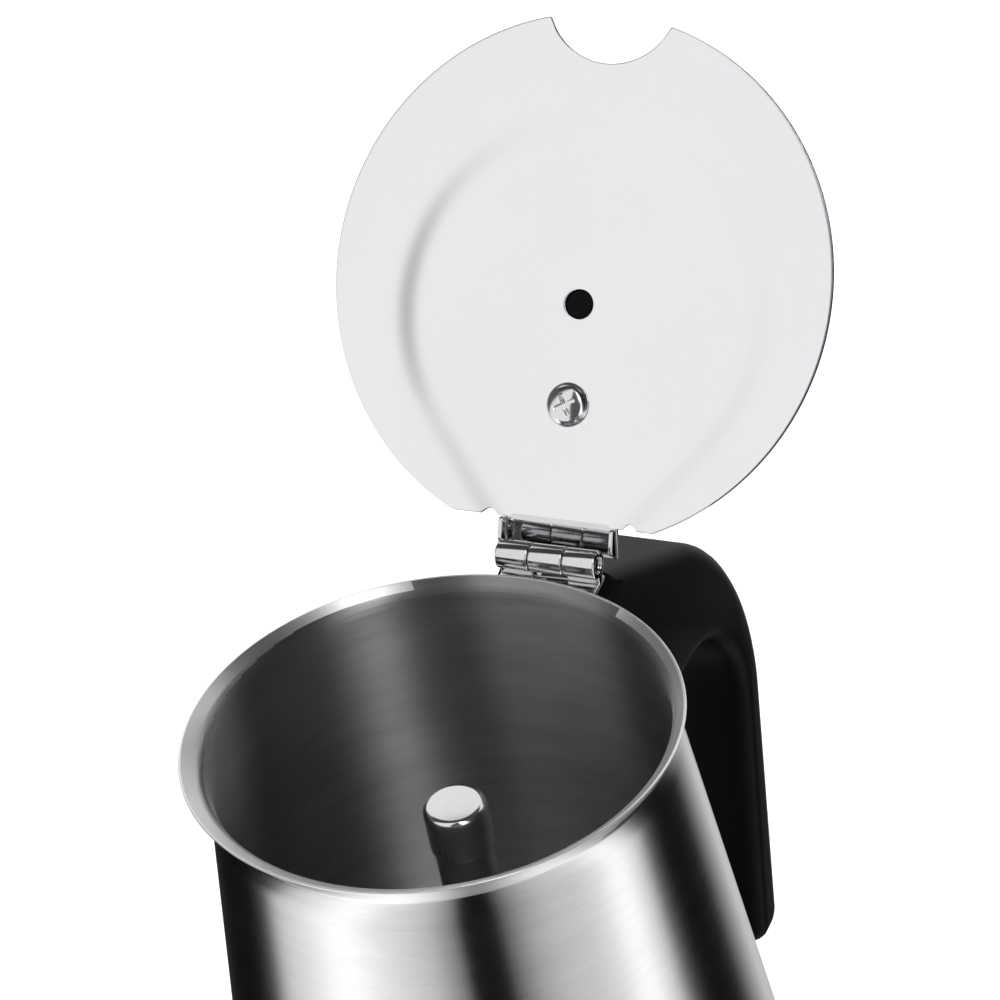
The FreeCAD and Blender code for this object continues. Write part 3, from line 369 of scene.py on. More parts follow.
# ------------------------------------------------------------------ finishes
class Graph:
    """Adds nodes to a node tree and joins them."""

    def __init__(self, tree: bpy.types.NodeTree) -> None:
        """Keeps the tree."""
        self.tree = tree

    def add(self, kind: str, inputs: Optional[Inputs] = None, **settings: object) -> bpy.types.Node:
        """Adds one node.

        Args:
            kind: The node's type.
            inputs: A value or a socket to join, for each input by name or number.
            **settings: The node's own settings.

        Returns:
            The node.
        """
        node = self.tree.nodes.new(kind)
        for key, value in settings.items():
            setattr(node, key, value)
        for key, value in (inputs or {}).items():
            if isinstance(value, bpy.types.NodeSocket):
                self.tree.links.new(value, node.inputs[key])
            else:
                node.inputs[key].default_value = value
        return node

    def sum(self, operation: str, *values: Link) -> Socket:
        """Adds a Math node with these values and returns its result."""
        return self.add("ShaderNodeMath", dict(enumerate(values)), operation=operation).outputs[0]

    def ramp(self, factor: Socket, stops: Stops, smooth: str = "EASE") -> Socket:
        """Adds a grey ramp.

        Args:
            factor: What is looked up.
            stops: Pairs of position and brightness.
            smooth: The interpolation between the stops.

        Returns:
            The ramp's colour.
        """
        node = self.add("ShaderNodeValToRGB", {"Fac": factor})
        node.color_ramp.interpolation = smooth
        elements = node.color_ramp.elements
        elements.remove(elements[1])
        for i, (position, tone) in enumerate(stops):
            stop = elements[0] if i == 0 else elements.new(position)
            stop.position = position
            stop.color = (tone, tone, tone, 1)
        return node.outputs["Color"]


def new_group(name: str, inputs: Sequence[tuple[str, float]],
              outputs: Sequence[str]) -> tuple[bpy.types.NodeTree, Graph]:
    """Starts a shader node group with a vector input, value inputs and value outputs.

    Args:
        name: The group's name.
        inputs: Names and default values of its number inputs.
        outputs: Names of its number outputs.

    Returns:
        The group and a graph on it.
    """
    tree = bpy.data.node_groups.new(name, "ShaderNodeTree")
    tree.interface.new_socket("Vector", in_out="INPUT", socket_type="NodeSocketVector")
    for label, default in inputs:
        number = tree.interface.new_socket(label, in_out="INPUT", socket_type="NodeSocketFloat")
        number.default_value = default
    for label in outputs:
        tree.interface.new_socket(label, in_out="OUTPUT", socket_type="NodeSocketFloat")
    return tree, Graph(tree)


def brushed_lines_group() -> bpy.types.NodeTree:
    """Builds the fine lines that brushing leaves round the pot's axis.

    Returns:
        A group with Around and Along scales in, and Lines and Streaks out.
    """
    tree, g = new_group("brushed_lines", [("Around", 6.0), ("Along", 4000.0)], ["Lines", "Streaks"])
    source = g.add("NodeGroupInput")
    parts = g.add("ShaderNodeSeparateXYZ", {0: source.outputs["Vector"]})
    x, y, z = parts.outputs[0], parts.outputs[1], parts.outputs[2]
    reach = g.sum("SQRT", g.sum("ADD", g.sum("MULTIPLY", x, x), g.sum("MULTIPLY", y, y)))
    reach = g.sum("MAXIMUM", reach, WELD)
    around = source.outputs["Around"]
    across = g.sum("MULTIPLY", g.sum("DIVIDE", x, reach), around)
    beside = g.sum("MULTIPLY", g.sum("DIVIDE", y, reach), around)
    climb = g.sum("MULTIPLY", g.sum("ADD", z, g.sum("MULTIPLY", reach, 0.7)), source.outputs["Along"])
    spot = g.add("ShaderNodeCombineXYZ", {0: across, 1: beside, 2: climb}).outputs[0]
    fine = g.add("ShaderNodeTexNoise", {"Vector": spot, "Scale": 1.0, "Detail": 3.0, "Roughness": 0.65})
    broad = g.add("ShaderNodeVectorMath", {0: spot, 1: (0.5, 0.5, 0.13)}, operation="MULTIPLY").outputs[0]
    wide = g.add("ShaderNodeTexNoise", {"Vector": broad, "Scale": 1.0, "Detail": 2.0, "Roughness": 0.5})
    g.add("NodeGroupOutput", {"Lines": fine.outputs["Fac"], "Streaks": wide.outputs["Fac"]})
    return tree


def grain_group() -> bpy.types.NodeTree:
    """Builds a fine moulded or blasted grain and slow cloudy patches.

    Returns:
        A group with Fine and Slow scales in, and Grain and Patches out.
    """
    tree, g = new_group("grain", [("Fine", 1800.0), ("Slow", 60.0)], ["Grain", "Patches"])
    source = g.add("NodeGroupInput")
    where = source.outputs["Vector"]
    fine = g.add("ShaderNodeTexNoise", {"Vector": where, "Scale": source.outputs["Fine"], "Detail": 2.0})
    slow = g.add("ShaderNodeTexNoise", {"Vector": where, "Scale": source.outputs["Slow"], "Detail": 4.0})
    g.add("NodeGroupOutput", {"Grain": fine.outputs["Fac"], "Patches": slow.outputs["Fac"]})
    return tree


GROUPS: dict[str, bpy.types.NodeTree] = {}
MATERIALS: dict[str, bpy.types.Material] = {}


def group_named(name: str, build: Callable[[], bpy.types.NodeTree]) -> bpy.types.NodeTree:
    """Finds a shared node group, and builds it the first time that it is asked for.

    Args:
        name: The group's name.
        build: What builds it.

    Returns:
        The group.
    """
    if name not in GROUPS:
        GROUPS[name] = build()
    return GROUPS[name]


@dataclass(frozen=True)
class Finish:
    """A surface finish made from one Principled shader and the shared grain.

    Attributes:
        name: The material's name.
        slot: The record's material slot that it stands for; not used.
        colour: The main colour.
        shade: The colour of the patches and hollows.
        roughness: The middle roughness.
        spread: How far the roughness strays from it.
        metallic: 1 for metals.
        fine: The scale of the grain.
        slow: The scale of the patches.
        bump: The height of the grain in metres.
        coat: The weight of a clear coat.
        shine: The specular level.
    """

    name: str
    slot: str
    colour: tuple[float, float, float]
    shade: tuple[float, float, float]
    roughness: float = 0.4
    spread: float = 0.1
    metallic: float = 0.0
    fine: float = 1800.0
    slow: float = 60.0
    bump: float = 0.00001
    coat: float = 0.0
    shine: float = 0.5

    def pattern(self, g: Graph, where: Socket) -> tuple[Socket, Socket]:
        """Adds the moulded or blasted grain.

        Args:
            g: The material's graph.
            where: The coordinates.

        Returns:
            The fine and the slow pattern.
        """
        shared = g.add("ShaderNodeGroup", node_tree=group_named("grain", grain_group))
        g.tree.links.new(where, shared.inputs["Vector"])
        shared.inputs["Fine"].default_value = self.fine
        shared.inputs["Slow"].default_value = self.slow
        return shared.outputs["Grain"], shared.outputs["Patches"]

    def constants(self, shader: bpy.types.Node) -> None:
        """Sets what is the same all over the surface.

        Args:
            shader: The Principled shader.
        """
        shader.inputs["Metallic"].default_value = self.metallic
        shader.inputs["Coat Weight"].default_value = self.coat
        shader.inputs["Coat Roughness"].default_value = COAT_ROUGHNESS
        shader.inputs["Specular IOR Level"].default_value = self.shine

    def material(self) -> bpy.types.Material:
        """Builds the material, or returns it if it has been built.

        Returns:
            The material.
        """
        if self.name in MATERIALS:
            return MATERIALS[self.name]
        made = bpy.data.materials.new(self.name)
        made.use_nodes = True
        made.node_tree.nodes.clear()
        g = Graph(made.node_tree)
        where = g.add("ShaderNodeTexCoord").outputs["Object"]
        fine, slow = self.pattern(g, where)
        blend = g.sum("MULTIPLY_ADD", fine, 0.5, g.sum("MULTIPLY", slow, 0.5))
        tone = g.add("ShaderNodeMix", {0: blend, 6: (*self.shade, 1), 7: (*self.colour, 1)}, data_type="RGBA")
        rough = g.sum("MULTIPLY_ADD", g.sum("SUBTRACT", blend, 0.5), 2 * self.spread, self.roughness)
        bump = g.add("ShaderNodeBump", {"Height": fine, "Strength": 1.0, "Distance": self.bump})
        shader = g.add("ShaderNodeBsdfPrincipled", {
            "Base Color": tone.outputs[2], "Roughness": rough, "Normal": bump.outputs["Normal"]})
        self.constants(shader)
        g.add("ShaderNodeOutputMaterial", {"Surface": shader.outputs[0]})
        MATERIALS[self.name] = made
        return made


@dataclass(frozen=True)
class BrushedSteel(Finish):
    """Steel that is brushed round the pot's axis.

    Attributes:
        around: How quickly the lines change round the axis.
        along: How many lines there are to the metre of height.
        stretch: The anisotropy of the highlights.
    """

    around: float = 7.0
    along: float = 3600.0
    stretch: float = 0.8

    def pattern(self, g: Graph, where: Socket) -> tuple[Socket, Socket]:
        """Adds the brushing.

        Args:
            g: The material's graph.
            where: The coordinates.

        Returns:
            The fine lines and the wide streaks.
        """
        shared = g.add("ShaderNodeGroup", node_tree=group_named("brushed_lines", brushed_lines_group))
        g.tree.links.new(where, shared.inputs["Vector"])
        shared.inputs["Around"].default_value = self.around
        shared.inputs["Along"].default_value = self.along
        return shared.outputs["Lines"], shared.outputs["Streaks"]

    def constants(self, shader: bpy.types.Node) -> None:
        """Sets what is the same all over the surface, and the direction of the brushing.

        Args:
            shader: The Principled shader.
        """
        super().constants(shader)
        shader.inputs["Anisotropic"].default_value = self.stretch
        shader.inputs["Anisotropic Rotation"].default_value = QUARTER_TURN
        tangent = Graph(shader.id_data).add("ShaderNodeTangent", direction_type="RADIAL", axis="Z")
        shader.id_data.links.new(tangent.outputs[0], shader.inputs["Tangent"])


STEEL = (0.72, 0.72, 0.73)
STEEL_SHADE = (0.55, 0.55, 0.56)
OUTER_STEEL = BrushedSteel(
    "brushed_outer_steel", "brushed_steel_outer", colour=STEEL, shade=STEEL_SHADE, roughness=0.19,
    spread=0.03, metallic=1.0, bump=0.8e-6, stretch=0.8)
# Painted shade: a darker copy of the outer steel, same slot, for the chamber's inside and floor, standing in
# for the shade inside the cup.
SHADED_INNER_STEEL = BrushedSteel(
    "painted_shade_brushed_inner_steel", "brushed_steel_outer", colour=(0.54, 0.54, 0.54), shade=(0.28, 0.28, 0.28),
    roughness=0.42, spread=0.05, metallic=1.0, bump=3e-6, stretch=1.0, around=5.0, along=2600.0)
# Painted highlight: a brighter copy of the outer steel, same slot, for the flare round the rim, standing in
# for its bright reflections.
LIT_RIM_STEEL = BrushedSteel(
    "painted_highlight_rim_steel", "brushed_steel_outer", colour=(0.94, 0.94, 0.95), shade=(0.84, 0.84, 0.85),
    roughness=0.34, spread=0.06, metallic=1.0, bump=0.6e-6, stretch=0.3)
# Painted shade: near-black steel for the lid's edge faces, standing in for the dark line of shade along the
# lid's outline.
SHADED_EDGE_STEEL = Finish(
    "painted_shade_edge_steel", "lid_steel", colour=(0.03, 0.03, 0.03), shade=(0.015, 0.015, 0.015),
    roughness=0.35, spread=0.05, metallic=1.0)
LID_STEEL = Finish(
    "satin_lid_steel", "lid_steel", colour=(0.86, 0.86, 0.88), shade=(0.80, 0.80, 0.82), roughness=0.22,
    spread=0.03, metallic=1.0, fine=2600.0, slow=30.0, bump=0.6e-6)
BRIGHT_STEEL = Finish(
    "polished_steel", "polished_steel", colour=(0.80, 0.80, 0.81), shade=(0.66, 0.66, 0.67),
    roughness=0.12, spread=0.04, metallic=1.0, fine=1500.0, slow=120.0, bump=0.6e-6)
HINGE_STEEL = Finish(
    "polished_hinge_steel", "polished_steel", colour=(0.74, 0.74, 0.75), shade=(0.60, 0.60, 0.61),
    roughness=0.09, spread=0.03, metallic=1.0, fine=1500.0, slow=120.0, bump=0.5e-6)
BOILER_STEEL = BrushedSteel(
    "brushed_boiler_steel", "boiler_steel", colour=STEEL, shade=STEEL_SHADE, roughness=0.32,
    spread=0.05, metallic=1.0, bump=2e-6, along=3000.0)
DRAWN_STEEL = Finish(
    "drawn_steel", "boiler_steel", colour=(0.70, 0.70, 0.71), shade=(0.55, 0.55, 0.56), roughness=0.26,
    spread=0.06, metallic=1.0, fine=1200.0, slow=80.0, bump=0.3e-6)
BLACK_PLASTIC = Finish(
    "black_handle_plastic", "black_plastic", colour=(0.0040, 0.0040, 0.0045),
    shade=(0.0028, 0.0028, 0.003), roughness=0.40, spread=0.05, metallic=0.0, fine=2200.0, slow=40.0,
    bump=6e-6, shine=0.04)
BASE_PLASTIC = Finish(
    "black_base_plastic", "base_plastic", colour=(0.020, 0.020, 0.022), shade=(0.012, 0.012, 0.013),
    roughness=0.5, spread=0.06, metallic=0.0, fine=1700.0, slow=40.0, bump=10e-6)
GLOSS_PLASTIC = Finish(
    "gloss_black_plastic", "gloss_black", colour=(0.015, 0.015, 0.016), shade=(0.010, 0.010, 0.011),
    roughness=0.16, spread=0.05, metallic=0.0, fine=1500.0, slow=60.0, bump=1e-6, coat=0.4)
WHITE_PLASTIC = Finish(
    "white_ceramic_plastic", "white_ceramic_plastic", colour=(0.78, 0.77, 0.73),
    shade=(0.66, 0.65, 0.61), roughness=0.5, spread=0.06, metallic=0.0, fine=1400.0, slow=70.0,
    bump=8e-6)
RUBBER = Finish(
    "foot_rubber", "rubber", colour=(0.030, 0.030, 0.031), shade=(0.018, 0.018, 0.019), roughness=0.75,
    spread=0.06, metallic=0.0, fine=2500.0, slow=80.0, bump=15e-6)
SILICONE = Finish(
    "gasket_silicone", "silicone", colour=(0.80, 0.79, 0.76), shade=(0.68, 0.67, 0.63), roughness=0.55,
    spread=0.05, metallic=0.0, fine=1800.0, slow=90.0, bump=4e-6)
BRASS = Finish(
    "turned_brass", "brass", colour=(0.80, 0.58, 0.26), shade=(0.62, 0.42, 0.17), roughness=0.28,
    spread=0.08, metallic=1.0, fine=1600.0, slow=140.0, bump=2e-6)
ALUMINIUM = Finish(
    "cast_aluminium", "aluminium", colour=(0.74, 0.75, 0.76), shade=(0.58, 0.59, 0.60), roughness=0.46,
    spread=0.08, metallic=1.0, fine=1300.0, slow=90.0, bump=12e-6)
SHEATH = Finish(
    "element_sheath", "element_sheath", colour=(0.30, 0.27, 0.25), shade=(0.20, 0.17, 0.16),
    roughness=0.48, spread=0.08, metallic=1.0, fine=1500.0, slow=120.0, bump=6e-6)
ZINC = Finish(
    "zinc_plated_steel", "zinc_steel", colour=(0.70, 0.71, 0.74), shade=(0.52, 0.53, 0.57),
    roughness=0.34, spread=0.08, metallic=1.0, fine=1700.0, slow=200.0, bump=3e-6)
AMBER = Finish(
    "amber_lens", "amber_lens", colour=(0.86, 0.38, 0.05), shade=(0.66, 0.24, 0.03), roughness=0.18,
    spread=0.05, metallic=0.0, fine=900.0, slow=200.0, bump=3e-6, coat=0.5)


def finished(bm: Shape, name: str, body: str, finish: Finish, *nodes: str) -> bpy.types.Object:
    """Turns a shape into a finished piece that rides on a body.

    Args:
        bm: The shape, which is freed.
        name: The piece's name.
        body: The body it rides on.
        finish: Its finish.
        *nodes: The nodes of the frame that it stands for.

    Returns:
        The piece.
    """
    piece = as_object(bm, name)
    mesh = piece.data
    mesh.shade_smooth()
    mesh.set_sharp_from_angle(angle=SHARP_ANGLE)
    mesh.materials.append(finish.material())
    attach(piece, body)
    if nodes:
        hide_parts(*nodes)
    LOG.info("%s: %d faces on %s", name, len(mesh.polygons), body)
    return piece


def dress(node: str, finish: Finish) -> None:
    """Gives a node of the frame a finish and keeps its shape.

    Args:
        node: The node.
        finish: Its finish.
    """
    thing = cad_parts[node]
    thing.data.materials.clear()
    thing.data.materials.append(finish.material())
    LOG.info("%s keeps its shape in %s", node, finish.name)


# ------------------------------------------------------------------ power base
@dataclass
class PowerBase:
    """The cordless power base with its connector, gland, lamp and switch.

    Attributes:
        radius: The outer radius in millimetres.
        brow: The radius of the top edge.
        recess: The radius of the pot's seat.
        floor: The height of the underside.
        top: The height of the top edge.
        seat: The height of the seat's floor.
        wall: The thickness of the cover.
        post: The radius of the connector post.
        foot: The inner and outer radius of the foot ring.
        axis: The height of the gland, the switch and the lamp.
        lamp: The lamp's distance from the middle of the front.
        rocker: The place of the rocker's axle from front to back.
        gland_length: The length of the cord gland.
    """

    radius: float = 62.0
    brow: float = 57.5
    recess: float = 54.3
    floor: float = 2.0
    top: float = 26.0
    seat: float = 22.6
    wall: float = 2.5
    post: float = 14.0
    foot: tuple[float, float] = (46.0, 52.0)
    axis: float = 11.0
    lamp: float = 17.0
    rocker: float = -58.0
    gland_length: float = 13.0

    def housing(self) -> None:
        """Builds the moulded cover with its seat, switch window and cable hole."""
        inside, ceiling = self.radius - self.wall, self.seat - self.wall
        cover = lathe([
            (self.radius, self.floor, 0.8), (self.radius, 20, 9), (self.brow, self.top, 1.8),
            (self.recess, self.top, 0.9), (self.recess, self.seat, 1.4), (self.post + 6, self.seat, 0.5),
            (self.post + 6, ceiling), (self.recess - 1, ceiling, 3), (inside, 17, 3), (inside, self.floor)],
            steps=160)
        window = block((-10.1, -70, self.axis - 6.3), (10.1, -57, self.axis + 6.3), 0.6)
        lamp = rod(2.6, 14, (self.lamp, -68, self.axis), Axis.FRONT_TO_BACK)
        cable = rod(5.6, 14, (0, 54, self.axis), Axis.FRONT_TO_BACK)
        whole = carved(cover, [window, lamp, cable])
        finished(whole, "base_cover", "power_base", BASE_PLASTIC, "base_housing")
        inner, outer = self.foot
        foot = lathe([(inner, 0, 0.6), (outer, 0, 0.6), (outer, self.floor), (inner, self.floor)], steps=128)
        finished(foot, "base_foot", "power_base", RUBBER, "foot_ring")
        dress("base_plate", BASE_PLASTIC)
        dress("base_screws", ZINC)
        dress("terminal_block", WHITE_PLASTIC)

    def connector(self) -> None:
        """Builds the round connector post in the middle of the seat."""
        post = lathe([
            (0, 10.5), (23, 10.5, 1), (23, 20.1), (19.5, 20.1), (19.5, self.seat),
            (self.post, self.seat, 0.6), (self.post, 34, 1.4), (9.5, 34, 0.8), (9.5, 25.6), (7.5, 25.6),
            (7.5, 33, 0.6), (3.3, 33, 0.6), (3.3, 21.6), (0, 21.6)], False)
        finished(post, "base_connector", "power_base", BASE_PLASTIC, "connector_post")
        dress("base_contacts", BRASS)

    def gland(self) -> None:
        """Builds the cord gland in the back of the base."""
        bore, neck, collar, ribs = 3.4, 5.5, 7.5, 3
        corners = [(bore, 0), (neck, 0, 0.3), (neck, 2.8), (collar, 2.8, 0.5), (collar, 5.8, 0.8),
                   (neck, 5.8)]
        for i in range(ribs):
            corners += groove(neck, 4.9, 6.4 + 2.1 * i, 0.4, 0.8)
        corners += [(neck, self.gland_length, 0.6), (bore, self.gland_length, 0.5)]
        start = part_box("cord_gland")[1].y / MM - self.gland_length
        gland = place(lathe(corners), (0, start, self.axis), Axis.FRONT_TO_BACK)
        finished(gland, "cable_gland", "power_base", BASE_PLASTIC, "cord_gland")

    def switch(self) -> None:
        """Builds the rocker switch's frame, the rocker and the lamp beside it."""
        shell = block((-10, -63.2, self.axis - 6.2), (10, -60.8, self.axis + 6.2), 0.7)
        trunk = block((-8.4, -61, self.axis - 5.2), (8.4, -49, self.axis + 5.2), 0.2)
        well = block((-7.8, -66, self.axis - 4.5), (7.8, -53, self.axis + 4.5), 0.3)
        whole = carved(merged([shell, trunk]), [well])
        finished(whole, "switch_frame", "power_base", BASE_PLASTIC, "switch_housing")
        paddle = slab([(-7, 0), (7, 0), (7, -4.6, 0.5), (0, -5.8, 30), (-7, -4.6, 0.5)], -4.2, 4.2, 0.35)
        axle = rod(1.0, 9.6, (0, 0, -4.8))
        rocker = turned(merged([turned(paddle, -90, "X"), axle]), 7, "Z")
        rocker = place(rocker, (0, self.rocker, self.axis))
        finished(rocker, "rocker", "switch", GLOSS_PLASTIC, "switch_rocker")
        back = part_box("indicator_lens")[1].y / MM
        lens = lathe([(0, 0), (2.5, 0), (2.5, 4.4, 0.5), (1.4, 5.0, 2), (0, 5.0)], False, 32)
        lens = place(turned(lens, 90, "X"), (self.lamp, back, self.axis))
        finished(lens, "lamp_lens", "power_base", AMBER, "indicator_lens")

    def build(self) -> None:
        """Builds the whole base."""
        self.housing()
        self.connector()
        self.gland()
        self.switch()


# ------------------------------------------------------------------ boiler
@dataclass
class Boiler:
    """The water boiler with its heater, skirt and safety valve.

    Attributes:
        radius: The outer radius in millimetres.
        bottom: The height of its underside.
        shoulder: The height of its shoulder.
        neck: The radius of the threaded neck.
        neck_top: The height of the neck's edge.
        sheet: The thickness of the steel.
        skirt: The radius of the heater's skirt.
        valve: The height of the safety valve.
        hexagon: The radius of the valve's hexagon at its corners.
    """

    radius: float = 50.2
    bottom: float = 46.0
    shoulder: float = 96.5
    neck: float = 38.9
    neck_top: float = 104.0
    sheet: float = 0.8
    skirt: float = 53.0
    valve: float = 78.0
    hexagon: float = 6.9

    def shell(self) -> None:
        """Builds the steel shell with its threaded neck and the valve's hole."""
        inside, below = self.radius - self.sheet, self.shoulder - self.sheet
        mouth, bed, turns = self.neck - 1.1, self.bottom + 1.5, 3
        corners = [(0, self.bottom), (self.radius, self.bottom, 1.2), (self.radius, self.shoulder, 8),
                   (self.neck, self.shoulder, 0.8)]
        for i in range(turns):
            corners += groove(self.neck, self.neck - 0.45, self.shoulder + 1.3 + 1.9 * i, 0.5, 0.5)
        corners += [(self.neck, self.neck_top, 0.3), (mouth, self.neck_top, 0.3), (mouth, below, 0.8),
                    (inside, below, 7.2), (inside, bed), (0, bed)]
        shell = lathe(corners, False, 160)
        port = rod(4.1, 12, (0, -self.radius - 4, self.valve), Axis.FRONT_TO_BACK)
        finished(carved(shell, [port]), "boiler", "boiler", BOILER_STEEL, "boiler_shell")

    def heater(self) -> None:
        """Builds the heater's skirt and connector, and dresses what is inside it."""
        skirt = lathe([(20.5, 23), (self.skirt, 23, 2.2), (self.skirt, 46.5, 2.4), (50.3, 46.5, 0.2),
                       (50.3, 42.5), (50.5, 40.5), (50.5, 25.5, 1), (20.5, 25.5)], steps=160)
        seats, ring = [], 38
        for degrees in (60, 180, 300):
            turn = math.radians(degrees)
            seats.append(rod(3.1, 2.5, (ring * math.cos(turn), ring * math.sin(turn), 22)))
        finished(carved(skirt, seats), "skirt", "boiler", BASE_PLASTIC, "heater_skirt")
        socket = lathe([(14.5, 23.3), (20.2, 23.3), (20.2, 25.5), (23, 25.5), (23, 27.5, 0.5), (17, 27.5),
                        (17, 37.4, 0.8), (0, 37.4), (0, 35.4), (14.5, 35.4)], False)
        finished(socket, "pot_socket", "boiler", WHITE_PLASTIC, "pot_connector")
        dress("heating_plate", ALUMINIUM)
        dress("heating_element", SHEATH)
        dress("thermostat", BRIGHT_STEEL)
        dress("thermal_fuse", WHITE_PLASTIC)
        dress("skirt_screws", ZINC)

    def safety_valve(self) -> None:
        """Builds the valve's hexagon and nose, its pin, and dresses its nut and spring."""
        spot = (0, -self.radius, self.valve)
        nose = lathe([(1.35, -9), (5, -9, 0.8), (5, -6.02), (5, 0), (4, 0), (4, 6, 0.3), (3, 6), (3, -6),
                      (1.35, -6)], steps=48)
        hexagon = bmesh.new()
        tip = self.hexagon * MM
        bmesh.ops.create_cone(hexagon, cap_ends=True, segments=6, radius1=tip, radius2=tip, depth=6 * MM)
        bmesh.ops.translate(hexagon, verts=hexagon.verts[:], vec=(0, 0, -3.01 * MM))
        rounded(hexagon, hexagon.edges[:], 0.35 * MM, 3)
        bore = rod(3.2, 8, (0, 0, -7))
        body = place(merged([nose, carved(hexagon, [bore])]), spot, Axis.FRONT_TO_BACK)
        finished(body, "valve", "boiler", BRASS, "valve_body")
        pin = lathe([(0, -10.6), (1.3, -10.6, 0.4), (1.3, 3.2), (2.7, 3.2, 0.2), (2.7, 4.4, 0.2), (0, 4.4)],
                    False, 32)
        finished(place(pin, spot, Axis.FRONT_TO_BACK), "valve_stem", "valve", BRASS, "valve_pin")
        dress("valve_nut", BRASS)
        dress("valve_spring", BRIGHT_STEEL)

    def build(self) -> None:
        """Builds the whole boiler."""
        self.shell()
        self.heater()
        self.safety_valve()


@dataclass
class Funnel:
    """The coffee basket with its stem and screen, and the gasket and filter above it.

    Attributes:
        basket: The outer radius of the basket in millimetres.
        stem: The outer radius of the stem.
        flange: The radius of the flange and the gasket.
        sheet: The thickness of the steel.
        foot: The height of the stem's lower end.
        shoulder: The height where the stem meets the basket.
        rim: The height of the basket's flange.
    """

    basket: float = 34.6
    stem: float = 5.0
    flange: float = 38.2
    sheet: float = 0.7
    foot: float = 50.0
    shoulder: float = 71.0
    rim: float = 104.0

    def build(self) -> None:
        """Builds the funnel and the seal."""
        passage, inside, top = self.stem - self.sheet, self.basket - self.sheet, self.rim + 0.9
        cup = lathe([(passage, self.shoulder), (self.stem, self.shoulder, 0.5), (self.basket, 77, 3),
                     (self.basket, self.rim, 0.4), (self.flange, self.rim, 0.3), (self.flange, top, 0.3),
                     (inside, top, 0.6), (inside, 77.3, 2.4), (passage, self.shoulder + 0.3)], steps=128)
        finished(cup, "coffee_basket", "funnel", DRAWN_STEEL, "funnel_basket")
        tube = lathe([(passage, self.foot, 0.2), (self.stem, self.foot, 0.2), (self.stem, self.shoulder),
                      (passage, self.shoulder)], steps=64)
        finished(tube, "coffee_funnel_stem", "funnel", DRAWN_STEEL, "funnel_stem")
        dress("funnel_screen", BRIGHT_STEEL)
        ring = lathe([(31, 105, 0.8), (self.flange, 105, 0.8), (self.flange, 107.4, 0.5), (31, 107.4, 0.5)],
                     steps=128)
        finished(ring, "gasket", "seal", SILICONE, "gasket_ring")
        dress("filter_plate", BRIGHT_STEEL)


